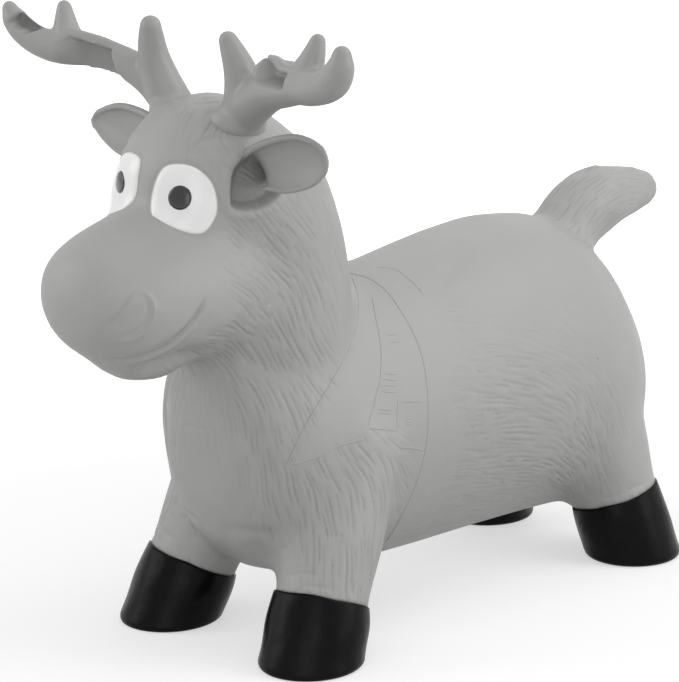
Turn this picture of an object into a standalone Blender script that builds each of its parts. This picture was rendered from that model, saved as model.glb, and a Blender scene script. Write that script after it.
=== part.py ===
"""An inflatable ride-on reindeer, modelled as the pieces that it is put together from.

One hollow moulded skin makes the torso, neck, head, stub legs and tail. The antlers, the ears,
the hoof caps and the eyes are mouldings of their own, seated on that skin, and the belly holds
an air valve with a push-in plug. Metres, +Z up, standing on Z = 0. The head looks towards -Y,
and the animal's left side is towards +X.
"""

from math import cos, pi, sin

import bmesh
import bpy
from mathutils import Matrix, Vector

# Torso, from the chest to the rump
TORSO_FRONT_Y = -0.209
TORSO_LENGTH = 0.492
TORSO_WIDTH = 0.202
TORSO_HEIGHT = 0.259
BELLY_CLEARANCE = 0.038

# Neck and head, one column that leans out over the chest. It starts inside the torso
HEAD_OVERHANG = 0.052
HEAD_DEPTH = 0.193
HEAD_WIDTH = 0.142
HEAD_HEIGHT = 0.233
HEAD_BASE_SHARE = 0.6255

# Muzzle, how far it reaches out from the head, and the jaw below it
MUZZLE_REACH = 0.075
MUZZLE_LENGTH = 0.162
MUZZLE_WIDTH = 0.134
MUZZLE_HEIGHT = 0.119
MUZZLE_BASE_SHARE = 0.1545
JAW_WIDTH = 0.086
JAW_DEPTH = 0.080
JAW_HEIGHT = 0.052
JAW_SEAT_SHARES = (0.45, 0.15)

# Stub legs: how far apart and how far from the torso's ends their axes meet the floor, how far
# they lean in a unit of height, and their radii
FRONT_TRACK = 0.158
FRONT_SETBACK = 0.044
FRONT_LEAN_SHARES = (-0.15, 0.42)
HIND_TRACK = 0.166
HIND_SETBACK = 0.061
HIND_LEAN_SHARES = (-0.26, -0.20)
LEG_TOP_SHARE = 0.49
LEG_MIDDLE_SHARE = 0.55
FOOT_RADIUS = 0.0395
FOOT_STRETCH_SHARE = 1.08
ANKLE_RADIUS = 0.0365
SHOULDER_RADIUS = 0.044
THIGH_RADIUS = 0.048

# Tail stub
TAIL_SEAT_SHARES = (0.8557, 0.865)
TAIL_LENGTH = 0.126
TAIL_RISE = 0.030
TAIL_RADIUS = 0.0325

# Skin, and the clearance of whatever touches it
SKIN_WALL = 0.0024
SKIN_VOXEL = 0.0080
SKIN_FACES = 4500
AIR_FACE_SHARE = 0.50
FIT_GAP = 0.0003

# Hoof caps, and the feet that they cover
FRONT_HOOF_HEIGHT = 0.0505
HIND_HOOF_HEIGHT = 0.0560
HOOF_WALL = 0.0020
HOOF_SOLE = 0.0025
HOOF_EDGE = 0.0050
HOOF_RIM_PROUD = 0.0008
FOOT_REACH_SHARE = 1.3

# Eyes: whites laid into beds in the skin, and pupils laid into the whites
EYE_WIDTH = 0.048
EYE_HEIGHT = 0.051
EYE_PROUD = 0.0008
EYE_BED_SHARE = 0.30
EYE_SEAT_SHARES = (0.479, 0.0674, 0.7124)
EYE_AIM_SHARES = (0.62, -0.77, 0.10)
PUPIL_WIDTH = 0.018
PUPIL_HEIGHT = 0.0195
PUPIL_PROUD = 0.0004
PUPIL_BED_SHARE = 0.40
PUPIL_INWARD_SHARE = 0.042

# Mounds under the eyes
MOUND_WIDTH = 0.044
MOUND_DEPTH = 0.050
MOUND_HEIGHT = 0.048
MOUND_SETBACK_SHARE = 0.40
MOUND_DROP_SHARE = 0.17

# Antlers
ANTLER_REACH = 0.1355
ANTLER_SWEEP = 0.0425
ANTLER_RISE = 0.0755
BEAM_RADIUS = 0.0145
PALM_LENGTH = 0.058
PALM_THICKNESS = 0.015
PALM_HEIGHT = 0.028
ANTLER_VOXEL = 0.0035
ANTLER_FACES = 850
PEG_LENGTH = 0.030
PEG_INWARD_SHARE = 0.55
PEG_SHARE = 0.59
BORE_SHARE = 0.45

# Ears
EAR_LENGTH = 0.084
EAR_HEIGHT = 0.050
EAR_RISE = 0.026
EAR_SWEEP = 0.016
EAR_CUP = 0.010
EAR_WALL = 0.0055
EAR_PEG_RADIUS = 0.0040
EAR_PEG_LENGTH = 0.022
EAR_PEG_SHARE = 0.20

# Valve in the belly: the bore of its bush, the bush's wall, the flange, and the plug
VALVE_BORE_RADIUS = 0.0046
VALVE_WALL = 0.0026
VALVE_LIP = 0.0058
VALVE_FLANGE = 0.0016
VALVE_LENGTH = 0.0114
PLUG_LIP = 0.0032
PLUG_HEAD = 0.0016
PLUG_TIP_SHARE = 0.7

# Along the torso, its bottom, its top, and its width, each as a share of its own size
TORSO_SHARES = (
    (0.000, 0.50, 0.635, 0.12),
    (0.012, 0.32, 0.773, 0.42),
    (0.042, 0.18, 0.831, 0.62),
    (0.103, 0.08, 0.878, 0.79),
    (0.193, 0.03, 0.902, 0.87),
    (0.314, 0.016, 0.914, 0.90),
    (0.435, 0.012, 0.945, 0.94),
    (0.555, 0.012, 0.980, 0.98),
    (0.676, 0.008, 1.000, 1.00),
    (0.777, 0.000, 0.980, 0.99),
    (0.857, 0.008, 0.902, 0.91),
    (0.918, 0.047, 0.761, 0.76),
    (0.962, 0.110, 0.627, 0.57),
    (0.990, 0.196, 0.478, 0.34),
    (1.000, 0.263, 0.380, 0.12),
)

# Up the neck and head, the front, the back and the width, as shares
HEAD_SHARES = (
    (0.000, 0.351, 1.000, 0.93),
    (0.172, 0.297, 1.000, 1.00),
    (0.343, 0.281, 0.989, 1.00),
    (0.451, 0.254, 0.968, 0.99),
    (0.536, 0.178, 0.951, 0.99),
    (0.622, 0.065, 0.919, 1.00),
    (0.708, 0.000, 0.876, 1.00),
    (0.794, 0.011, 0.795, 0.96),
    (0.858, 0.049, 0.708, 0.86),
    (0.914, 0.103, 0.622, 0.70),
    (0.961, 0.178, 0.541, 0.51),
    (0.991, 0.270, 0.459, 0.28),
    (1.000, 0.324, 0.405, 0.11),
)

# Back from the nose, the muzzle's bottom, top and width, as shares
MUZZLE_SHARES = (
    (0.000, 0.440, 0.620, 0.15),
    (0.025, 0.303, 0.750, 0.45),
    (0.108, 0.168, 0.855, 0.69),
    (0.236, 0.076, 0.925, 0.84),
    (0.395, 0.017, 0.983, 0.94),
    (0.586, 0.000, 1.000, 1.00),
    (0.809, 0.034, 1.000, 0.985),
    (1.000, 0.160, 0.916, 0.82),
)

# Back along the tail: how far along, how far up, and how thick, as shares
TAIL_SHARES = (
    (0.00, 0.00, 0.86),
    (0.19, 0.60, 0.95),
    (0.40, 0.93, 0.95),
    (0.62, 1.00, 0.76),
    (0.85, 1.00, 0.60),
    (1.00, 1.00, 0.46),
)

# Out, forward and up from an antler's root, and the thickness there, as shares
STEM_SHARES = (
    (-0.030, -0.12, -0.265, 1.03),
    (0.000, 0.00, 0.000, 1.00),
    (0.015, 0.14, 0.225, 0.97),
    (-0.004, 0.26, 0.437, 0.80),
    (-0.026, 0.38, 0.702, 0.68),
    (-0.037, 0.45, 0.915, 0.46),
)
BEAM_SHARES = (
    (0.015, 0.14, 0.205, 0.90),
    (0.229, 0.33, 0.360, 0.96),
    (0.487, 0.59, 0.440, 0.92),
    (0.745, 0.80, 0.485, 0.92),
    (0.925, 0.92, 0.610, 0.90),
    (1.000, 0.99, 0.790, 0.74),
    (1.015, 1.00, 0.935, 0.46),
)
TINE_SHARES = (
    (0.546, 0.59, 0.464, 0.86),
    (0.635, 0.56, 0.702, 0.72),
    (0.664, 0.52, 0.874, 0.56),
    (0.672, 0.49, 0.985, 0.40),
)
# Middles of the two webs that join the tines, and the size of each
PALM_SHARES = ((0.340, 0.40, 0.490, 1.00), (0.800, 0.75, 0.570, 0.72))

# Where the pieces meet: the head on the torso, the muzzle on the head, and the torso's rear
HEAD_FRONT_Y = TORSO_FRONT_Y - HEAD_OVERHANG
HEAD_BASE_Z = BELLY_CLEARANCE + HEAD_BASE_SHARE * TORSO_HEIGHT
NOSE_Y = HEAD_FRONT_Y - MUZZLE_REACH
MUZZLE_BASE_Z = HEAD_BASE_Z + MUZZLE_BASE_SHARE * HEAD_HEIGHT
TORSO_REAR_Y = TORSO_FRONT_Y + TORSO_LENGTH
EYE_BED = SKIN_WALL * EYE_BED_SHARE
PUPIL_BED = (EYE_BED + EYE_PROUD) * PUPIL_BED_SHARE
PEG_RADIUS = BEAM_RADIUS * PEG_SHARE
ANTLER_BORE_RADIUS = BEAM_RADIUS * BORE_SHARE

# Where antlers and ears sit on the head: out from its middle, back and up, as shares
ANTLER_SEAT_SHARES = (0.620, 0.358, 0.934)
EAR_SEAT_SHARES = (0.640, 0.255, 0.730)

# Along an ear from root to tip, and how far its edge is above and below that line, as shares
EAR_SHARES = (
    (0.00, 1.02, 1.14),
    (0.15, 1.16, 1.10),
    (0.32, 1.24, 0.86),
    (0.50, 1.18, 0.66),
    (0.70, 0.98, 0.56),
    (0.88, 0.66, 0.50),
    (1.00, 0.24, 0.24),
)

# Up a hoof from the sole to the rim, and how far the wall is drawn in, as a share of the edge
HOOF_SHARES = ((0.00, 1.00), (0.05, 0.30), (0.13, 0.00), (1.00, 0.00))


def collection(name):
    made = bpy.data.collections.new(name)
    bpy.context.scene.collection.children.link(made)
    return made


for leftover in list(bpy.data.objects):
    bpy.data.objects.remove(leftover, do_unlink=True)
PARTS = collection("ride_on_reindeer")
CUTTERS = collection("cutters")


def material(name, colour, roughness, coat=0):
    made = bpy.data.materials.new(name)
    made.use_nodes = True
    surface = made.node_tree.nodes["Principled BSDF"]
    surface.inputs["Base Color"].default_value = (*colour, 1)
    surface.inputs["Roughness"].default_value = roughness
    surface.inputs["Metallic"].default_value = 0
    surface.inputs["Coat Weight"].default_value = coat
    made.diffuse_color = (*colour, 1)
    return made


def place(mesh, name, home=None):
    """A new object of this mesh. Without a home it is a helper, kept with the cutters."""
    made = bpy.data.objects.new(name, mesh)
    (home or CUTTERS).objects.link(made)
    if home is None:
        made.hide_render = True
        made.display_type = "WIRE"
    return made


def evaluated(source):
    """The object's mesh with its modifiers applied, in world space."""
    bpy.context.view_layer.update()
    seen = source.evaluated_get(bpy.context.evaluated_depsgraph_get())
    mesh = bpy.data.meshes.new_from_object(seen)
    mesh.transform(source.matrix_world)
    return mesh


def baked(source, name):
    """A helper that holds the source's evaluated mesh, with loose caps welded. The source goes."""
    mesh = evaluated(source)
    shape = bmesh.new()
    shape.from_mesh(mesh)
    bmesh.ops.remove_doubles(shape, verts=shape.verts, dist=FIT_GAP * 0.01)
    bmesh.ops.recalc_face_normals(shape, faces=shape.faces)
    shape.to_mesh(mesh)
    shape.free()
    bpy.data.objects.remove(source, do_unlink=True)
    return place(mesh, name)


def boolean(target, cutter, operation="DIFFERENCE"):
    cut = target.modifiers.new(cutter.name, "BOOLEAN")
    cut.operation = operation
    cut.object = cutter
    cut.solver = "EXACT"


def oval(centre, across, up, sides=20):
    """Points of an ellipse round the centre, with these two half axes."""
    turns = [2 * pi * i / sides for i in range(sides)]
    return [centre + across * cos(turn) + up * sin(turn) for turn in turns]


def loft(name, rings):
    """A closed form through rings that have the same number of points."""
    shape = bmesh.new()
    rows = [[shape.verts.new(point) for point in ring] for ring in rings]
    for low, high in zip(rows, rows[1:]):
        for i in range(len(low)):
            j = (i + 1) % len(low)
            shape.faces.new((low[i], low[j], high[j]))
            shape.faces.new((low[i], high[j], high[i]))
    shape.faces.new(list(reversed(rows[0])))
    shape.faces.new(rows[-1])
    bmesh.ops.recalc_face_normals(shape, faces=shape.faces)
    mesh = bpy.data.meshes.new(name)
    shape.to_mesh(mesh)
    shape.free()
    return place(mesh, name)


def lengthwise(name, shares, front, length, base, height, width):
    """A loft along Y, from shares of its length, height and width."""
    rings = []
    for along, low, high, wide in shares:
        centre = Vector((0, front + along * length, base + (low + high) / 2 * height))
        across = Vector((wide * width / 2, 0, 0))
        up = Vector((0, 0, (high - low) / 2 * height))
        rings.append(oval(centre, across, up))
    return loft(name, rings)


def upright(name, shares):
    """The neck and head, a loft along Z."""
    rings = []
    for along, front, back, wide in shares:
        y = HEAD_FRONT_Y + (front + back) / 2 * HEAD_DEPTH
        centre = Vector((0, y, HEAD_BASE_Z + along * HEAD_HEIGHT))
        across = Vector((wide * HEAD_WIDTH / 2, 0, 0))
        depth = Vector((0, (back - front) / 2 * HEAD_DEPTH, 0))
        rings.append(oval(centre, across, depth))
    return loft(name, rings)


def ball(name, centre, size):
    shape = bmesh.new()
    spread = Matrix.Translation(centre) @ Matrix.Diagonal((*size, 1))
    bmesh.ops.create_uvsphere(shape, u_segments=24, v_segments=14, radius=0.5, matrix=spread)
    mesh = bpy.data.meshes.new(name)
    shape.to_mesh(mesh)
    shape.free()
    return place(mesh, name)


def tube(name, points, radii, resolution=6):
    """A tapered tube through points, with filled ends, as a mesh."""
    curve = bpy.data.curves.new(name, "CURVE")
    curve.dimensions = "3D"
    curve.bevel_depth = 1
    curve.bevel_resolution = 4
    curve.resolution_u = resolution
    curve.use_fill_caps = True
    spline = curve.splines.new("BEZIER")
    spline.bezier_points.add(len(points) - 1)
    for bend, point, radius in zip(spline.bezier_points, points, radii):
        bend.co = point
        bend.radius = radius
        bend.handle_left_type = bend.handle_right_type = "AUTO"
    return baked(place(curve, name), name)


def turned(name, profile, closed, sides=24):
    """A solid of revolution about Z, from (radius, height) points that run down its outside."""
    mesh = bpy.data.meshes.new(name)
    points = [(radius, 0, height) for radius, height in profile]
    edges = [(i, i + 1) for i in range(len(points) - 1)]
    if closed:
        edges.append((len(points) - 1, 0))
    mesh.from_pydata(points, edges, [])
    made = place(mesh, name)
    spin = made.modifiers.new("turned", "SCREW")
    spin.steps = spin.render_steps = sides
    spin.use_merge_vertices = True
    spin.merge_threshold = 0.0001
    return made


def blended(name, masses, voxel, rounds, faces):
    """One closed form from masses that overlap, with soft fillets where they meet."""
    for mass in masses[1:]:
        masses[0].data = joined(masses[0].data, mass.data)
        bpy.data.objects.remove(mass, do_unlink=True)
    form = masses[0]
    remesh = form.modifiers.new("merge", "REMESH")
    remesh.mode = "VOXEL"
    remesh.voxel_size = voxel
    smooth = form.modifiers.new("fillets", "SMOOTH")
    smooth.factor = 0.5
    smooth.iterations = rounds
    form = baked(form, name)
    triangles = sum(len(face.vertices) - 2 for face in form.data.polygons)
    thin = form.modifiers.new("fewer faces", "DECIMATE")
    thin.ratio = min(1, faces / triangles)
    thin.use_symmetry = True
    thin.use_collapse_triangulate = True
    relax = form.modifiers.new("even faces", "SMOOTH")
    relax.factor = 0.5
    relax.iterations = 2
    return form


def joined(one, other):
    """Both meshes in one."""
    shape = bmesh.new()
    shape.from_mesh(one)
    shape.from_mesh(other)
    mesh = bpy.data.meshes.new(one.name)
    shape.to_mesh(mesh)
    shape.free()
    return mesh


def offset(form, distance, name):
    """A copy of a baked form, moved out along its normals, or in where distance is negative."""
    made = place(form.data.copy(), name)
    push = made.modifiers.new("offset", "DISPLACE")
    push.strength = distance
    push.mid_level = 0
    return baked(made, name)


def leg(name, side, foot_x, foot_y, lean, top_radius, rim):
    """A stub leg, from inside the torso to a little below the floor."""
    top = BELLY_CLEARANCE + LEG_TOP_SHARE * TORSO_HEIGHT
    heights = (top, top * LEG_MIDDLE_SHARE, rim, 0, -ANKLE_RADIUS)
    radii = (top_radius, (top_radius + ANKLE_RADIUS) / 2, ANKLE_RADIUS, FOOT_RADIUS, FOOT_RADIUS)
    points = [(side * (foot_x + lean[0] * z), foot_y + lean[1] * z, z) for z in heights]
    return tube(name, points, radii)


FRONT_FOOT = (FRONT_TRACK / 2, TORSO_FRONT_Y + FRONT_SETBACK)
HIND_FOOT = (HIND_TRACK / 2, TORSO_REAR_Y - HIND_SETBACK)
FRONT_LEG = (*FRONT_FOOT, FRONT_LEAN_SHARES, SHOULDER_RADIUS, FRONT_HOOF_HEIGHT)
HIND_LEG = (*HIND_FOOT, HIND_LEAN_SHARES, THIGH_RADIUS, HIND_HOOF_HEIGHT)
LEGS = {
    "front_left": (1, *FRONT_LEG),
    "front_right": (-1, *FRONT_LEG),
    "hind_left": (1, *HIND_LEG),
    "hind_right": (-1, *HIND_LEG),
}
SIDES = {"left": 1, "right": -1}


def tail():
    root_y = TORSO_FRONT_Y + TAIL_SEAT_SHARES[0] * TORSO_LENGTH
    root_z = BELLY_CLEARANCE + TAIL_SEAT_SHARES[1] * TORSO_HEIGHT
    points = []
    for back, up, _ in TAIL_SHARES:
        points.append((0, root_y + back * TAIL_LENGTH, root_z + up * TAIL_RISE))
    return tube("tail_mass", points, [wide * TAIL_RADIUS for _, _, wide in TAIL_SHARES])


def on_head(side, shares):
    """A place in the head, from shares of its half width, depth and height."""
    out, back, up = shares
    return Vector((
        side * out * HEAD_WIDTH / 2,
        HEAD_FRONT_Y + back * HEAD_DEPTH,
        HEAD_BASE_Z + up * HEAD_HEIGHT,
    ))


def skin_form():
    """The outside of the whole moulding, before anything is cut into it."""
    torso = (TORSO_SHARES, TORSO_FRONT_Y, TORSO_LENGTH, BELLY_CLEARANCE, TORSO_HEIGHT, TORSO_WIDTH)
    muzzle = (MUZZLE_SHARES, NOSE_Y, MUZZLE_LENGTH, MUZZLE_BASE_Z, MUZZLE_HEIGHT, MUZZLE_WIDTH)
    back, up = JAW_SEAT_SHARES
    jaw_middle = Vector((0, NOSE_Y + back * MUZZLE_LENGTH, MUZZLE_BASE_Z + up * MUZZLE_HEIGHT))
    masses = [
        lengthwise("torso_mass", *torso),
        upright("head_mass", HEAD_SHARES),
        lengthwise("muzzle_mass", *muzzle),
        ball("jaw_mass", jaw_middle, (JAW_WIDTH, JAW_DEPTH, JAW_HEIGHT)),
        tail(),
    ]
    for side in SIDES.values():
        setback = Vector((0, MOUND_SETBACK_SHARE * MOUND_DEPTH, -MOUND_DROP_SHARE * MOUND_HEIGHT))
        mound = on_head(side, EYE_SEAT_SHARES) + setback
        masses.append(ball("mound_mass", mound, (MOUND_WIDTH, MOUND_DEPTH, MOUND_HEIGHT)))
    masses += [leg(f"{name}_mass", *sizes) for name, sizes in LEGS.items()]
    return blended("skin_form", masses, SKIN_VOXEL, 6, SKIN_FACES)


def prism(name, middle, aim, width, height, near, far, sides=28):
    """An oval rod along the aim, from near to far of its middle."""
    aim = Vector(aim).normalized()
    across = aim.cross(Vector((0, 0, 1))).normalized()
    up = across.cross(aim)
    ends = (middle + aim * near, middle + aim * far)
    return loft(name, [oval(end, across * width / 2, up * height / 2, sides) for end in ends])


def foot_ring(leg, low, up, radius):
    """A ring round a foot: level at the sole, and square to the leg at the rim, where up is 1."""
    side, foot_x, foot_y, lean, _, rim_height = leg
    axis = Vector((side * lean[0], lean[1], 1)).normalized()
    sole = Vector((side * foot_x, foot_y, low))
    rim = Vector((side * foot_x, foot_y, 0)) + axis * rim_height
    across = Vector((0, 1, 0)).cross(axis).normalized()
    along = axis.cross(across)
    across = Vector((1, 0, 0)).lerp(across, up) * radius
    along = Vector((0, FOOT_STRETCH_SHARE, 0)).lerp(along, up) * radius
    return oval(sole.lerp(rim, up), across, along, 24)


def foot(name, leg, low, shrink, reach=1):
    """A foot from its sole up to a share of its cap's height, drawn in all round by shrink."""
    rings = []
    for up, drawn in (*HOOF_SHARES, (reach, 0)):
        radius = FOOT_RADIUS + (ANKLE_RADIUS + HOOF_RIM_PROUD - FOOT_RADIUS) * up
        rings.append(foot_ring(leg, low, up, radius - drawn * HOOF_EDGE - shrink))
    return loft(name, rings if reach > 1 else rings[:-1])


def foot_space(name, leg, lift):
    """All that is below a cap's rim, or a little above it by lift."""
    reach = FOOT_RADIUS * FOOT_REACH_SHARE
    rings = [foot_ring(leg, -2 * ANKLE_RADIUS, 0, reach), foot_ring(leg, 0, 0, reach)]
    rings.append(foot_ring(leg, 0, 1 + lift / leg[-1], reach))
    return loft(name, rings)


def joined_up(name, parts):
    """One helper from several that don't touch."""
    for part in parts[1:]:
        parts[0].data = joined(parts[0].data, part.data)
        bpy.data.objects.remove(part, do_unlink=True)
    parts[0].name = name
    return parts[0]


def dress(made, name, finish):
    """Makes a helper into a part of the object."""
    CUTTERS.objects.unlink(made)
    PARTS.objects.link(made)
    made.name = made.data.name = name
    made.hide_render = False
    made.display_type = "TEXTURED"
    made.data.materials.clear()
    made.data.materials.append(finish)
    made.data.shade_smooth()
    return made


def antler_form(side):
    """Stem, beam, tine and webs of one antler, melted into one form."""
    seat = on_head(side, ANTLER_SEAT_SHARES)

    def reach(shares):
        out, forward, up = shares[:3]
        return seat + Vector((side * out * ANTLER_REACH, -forward * ANTLER_SWEEP, up * ANTLER_RISE))

    masses = []
    for name, shares in (("stem", STEM_SHARES), ("beam", BEAM_SHARES), ("tine", TINE_SHARES)):
        radii = [share[3] * BEAM_RADIUS for share in shares]
        masses.append(tube(f"{name}_mass", [reach(share) for share in shares], radii))
    for share in PALM_SHARES:
        size = Vector((PALM_LENGTH, PALM_THICKNESS, PALM_HEIGHT)) * share[3]
        masses.append(ball("palm_mass", reach(share), size))
    form = blended("antler_form", masses, ANTLER_VOXEL, 3, ANTLER_FACES)
    return baked(form, "antler_form"), [reach(share) for share in BEAM_SHARES]


def antler(word, side, shell):
    """An antler with its seat shaped to the head, a hollow peg below it, and a bore up the beam."""
    form, beam = antler_form(side)
    boolean(form, shell)
    seat = on_head(side, ANTLER_SEAT_SHARES)
    aim = (beam[0] - seat).normalized()
    size = 2 * PEG_RADIUS
    inward = PEG_LENGTH * PEG_INWARD_SHARE
    peg = prism("antler_peg", seat, aim, size, size, -inward, PEG_LENGTH - inward, 16)
    boolean(form, peg, "UNION")
    mouth = seat - aim * PEG_LENGTH
    bore = tube("antler_bore", [mouth, seat, *beam[:4]], [ANTLER_BORE_RADIUS] * 6, 3)
    boolean(form, bore)
    size += 2 * FIT_GAP
    hole = prism("antler_hole", seat, aim, size, size, -PEG_LENGTH, BEAM_RADIUS, 16)
    return dress(form, f"antler_{word}", ANTLER_VINYL), hole


def ear(word, side, shell):
    """A cupped leaf whose root is shaped to the head, with a small peg in it."""
    root = on_head(side, EAR_SEAT_SHARES)
    along = Vector((side * EAR_LENGTH, EAR_SWEEP, EAR_RISE))
    shape = bmesh.new()
    rows = []
    for out, above, below in EAR_SHARES:
        row = []
        for across in (-1, -0.5, 0, 0.5, 1):
            half = (above if across > 0 else below) * EAR_HEIGHT / 2
            curl = EAR_CUP * (above + below) / 2 * (1 - across * across)
            row.append(shape.verts.new(root + along * out + Vector((0, curl, across * half))))
        rows.append(row)
    for low, high in zip(rows, rows[1:]):
        for i in range(len(low) - 1):
            shape.faces.new((low[i], low[i + 1], high[i + 1], high[i]))
    mesh = bpy.data.meshes.new("ear_form")
    shape.to_mesh(mesh)
    shape.free()
    form = place(mesh, "ear_form")
    wall = form.modifiers.new("wall", "SOLIDIFY")
    wall.thickness = EAR_WALL
    wall.offset = 0
    soft = form.modifiers.new("soft", "SUBSURF")
    soft.levels = soft.render_levels = 1
    form = baked(form, "ear_form")
    boolean(form, shell)
    middle = root + along * EAR_PEG_SHARE + Vector((0, EAR_CUP * sum(EAR_SHARES[1][1:]) / 2, 0))
    size = 2 * EAR_PEG_RADIUS
    reach = EAR_PEG_LENGTH
    peg = prism("ear_peg", middle, along, size, size, -reach, EAR_WALL * 1.2, 12)
    boolean(form, peg, "UNION")
    size += 2 * FIT_GAP
    hole = prism("ear_hole", middle, along, size, size, -1.5 * reach, reach / 2, 12)
    return dress(form, f"ear_{word}", SKIN_VINYL), hole


SKIN_VINYL = material("grey_vinyl", (0.36, 0.36, 0.36), 0.55)
ANTLER_VINYL = material("antler_vinyl", (0.32, 0.32, 0.32), 0.50)
HOOF_VINYL = material("black_vinyl", (0.01, 0.01, 0.01), 0.22, 0.4)
EYE_WHITE = material("white_vinyl", (0.90, 0.90, 0.90), 0.30)
PUPIL_BLACK = material("pupil_vinyl", (0.01, 0.01, 0.01), 0.20)
VALVE_VINYL = material("valve_vinyl", (0.75, 0.75, 0.75), 0.40)

FORM = baked(skin_form(), "skin_form")

# Skins parallel to the outside: what lies in a bed fills the space from its floor to its face
FACE = offset(FORM, EYE_PROUD, "inlay_face")
BACK = offset(FORM, -EYE_BED, "inlay_back")
FLOOR = offset(FORM, -EYE_BED - FIT_GAP, "bed_floor")
SHELL = offset(FORM, FIT_GAP, "root_shell")


def hoof_caps():
    """The four caps, each a cup with a flat sole."""
    for name, leg in LEGS.items():
        cap = foot("hoof_outside", leg, 0, 0)
        boolean(cap, foot("hoof_inside", leg, HOOF_SOLE, HOOF_WALL, FOOT_REACH_SHARE))
        dress(cap, f"hoof_{name}", HOOF_VINYL)


def footed(form, depth, lift):
    """Gives a form with legs the feet that fit the caps, this deep inside the caps' outside."""
    sole = HOOF_SOLE + depth - HOOF_WALL
    feet = [foot("foot", leg, sole, depth, FOOT_REACH_SHARE) for leg in LEGS.values()]
    spaces = [foot_space("foot_space", leg, lift) for leg in LEGS.values()]
    boolean(form, joined_up("foot_spaces", spaces))
    boolean(form, joined_up("feet", feet), "UNION")
    return baked(form, form.name)


def eyes():
    """Whites laid into the head, pupils laid into the whites, and the beds for the whites."""
    beds = []
    pupil_face = offset(FORM, EYE_PROUD + PUPIL_PROUD, "pupil_face")
    pupil_back = offset(FORM, EYE_PROUD - PUPIL_BED, "pupil_back")
    pupil_floor = offset(FORM, EYE_PROUD - PUPIL_BED - FIT_GAP, "pupil_floor")
    for word, side in SIDES.items():
        aim = Vector((side * EYE_AIM_SHARES[0], *EYE_AIM_SHARES[1:]))
        middle = on_head(side, EYE_SEAT_SHARES)
        reach = EYE_WIDTH / 2
        white = prism("eye_region", middle, aim, EYE_WIDTH, EYE_HEIGHT, -reach, reach)
        boolean(white, FACE, "INTERSECT")
        boolean(white, BACK)
        centre = middle - Vector((side * PUPIL_INWARD_SHARE * EYE_WIDTH, 0, 0))
        gap = 2 * FIT_GAP
        bed = prism("pupil_bed", centre, aim, PUPIL_WIDTH + gap, PUPIL_HEIGHT + gap, -reach, reach, 20)
        boolean(bed, pupil_floor)
        boolean(white, bed)
        pupil = prism("pupil_region", centre, aim, PUPIL_WIDTH, PUPIL_HEIGHT, -reach, reach, 20)
        boolean(pupil, pupil_face, "INTERSECT")
        boolean(pupil, pupil_back)
        dress(white, f"eye_white_{word}", EYE_WHITE)
        dress(pupil, f"pupil_{word}", PUPIL_BLACK)
        beds.append(prism("eye_bed", middle, aim, EYE_WIDTH + gap, EYE_HEIGHT + gap, -reach, reach))
    bed = joined_up("eye_beds", beds)
    boolean(bed, FLOOR)
    return baked(bed, "eye_beds")


hoof_caps()
EYE_BEDS = eyes()
HOLES = []
for word, side in SIDES.items():
    HOLES.append(antler(word, side, SHELL)[1])
    HOLES.append(ear(word, side, SHELL)[1])

# The valve: a flanged bush glued into the belly, and a headed plug pushed up its bore
VALVE_STATION = TORSO_SHARES[7]
VALVE_Y = TORSO_FRONT_Y + VALVE_STATION[0] * TORSO_LENGTH
BELLY_Z = BELLY_CLEARANCE + VALVE_STATION[1] * TORSO_HEIGHT + EYE_BED
SEAT_Z = BELLY_Z - FIT_GAP
SEAT_TOP = SEAT_Z + VALVE_LENGTH
VALVE_NECK_RADIUS = VALVE_BORE_RADIUS + VALVE_WALL
VALVE_FLANGE_RADIUS = VALVE_NECK_RADIUS + VALVE_LIP
SEAT = turned("valve_seat", [
    (VALVE_BORE_RADIUS, SEAT_TOP),
    (VALVE_NECK_RADIUS, SEAT_TOP),
    (VALVE_NECK_RADIUS, SEAT_Z),
    (VALVE_FLANGE_RADIUS, SEAT_Z),
    (VALVE_FLANGE_RADIUS, SEAT_Z - VALVE_FLANGE),
    (VALVE_BORE_RADIUS, SEAT_Z - VALVE_FLANGE),
], True)
SHANK_RADIUS = VALVE_BORE_RADIUS - FIT_GAP
PLUG_HEAD_RADIUS = VALVE_BORE_RADIUS + PLUG_LIP
PLUG = turned("valve_plug", [
    (0, VALVE_LENGTH),
    (SHANK_RADIUS * PLUG_TIP_SHARE, VALVE_LENGTH),
    (SHANK_RADIUS, VALVE_LENGTH - SHANK_RADIUS / 2),
    (SHANK_RADIUS, 0),
    (PLUG_HEAD_RADIUS, 0),
    (PLUG_HEAD_RADIUS, -PLUG_HEAD),
    (0, -PLUG_HEAD),
], False)
SEAT.location = (0, VALVE_Y, 0)
PLUG.location = (0, VALVE_Y, SEAT_Z - VALVE_FLANGE - FIT_GAP)
dress(SEAT, "valve_seat", VALVE_VINYL)
dress(PLUG, "valve_plug", VALVE_VINYL)
HOLE_RADIUS = VALVE_NECK_RADIUS + FIT_GAP
BED_RADIUS = VALVE_FLANGE_RADIUS + FIT_GAP
VALVE_HOLE = turned("valve_hole", [
    (0, SEAT_TOP),
    (HOLE_RADIUS, SEAT_TOP),
    (HOLE_RADIUS, BELLY_Z),
    (BED_RADIUS, BELLY_Z),
    (BED_RADIUS, 0),
    (0, 0),
], False)
VALVE_HOLE.location = (0, VALVE_Y, 0)

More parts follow.
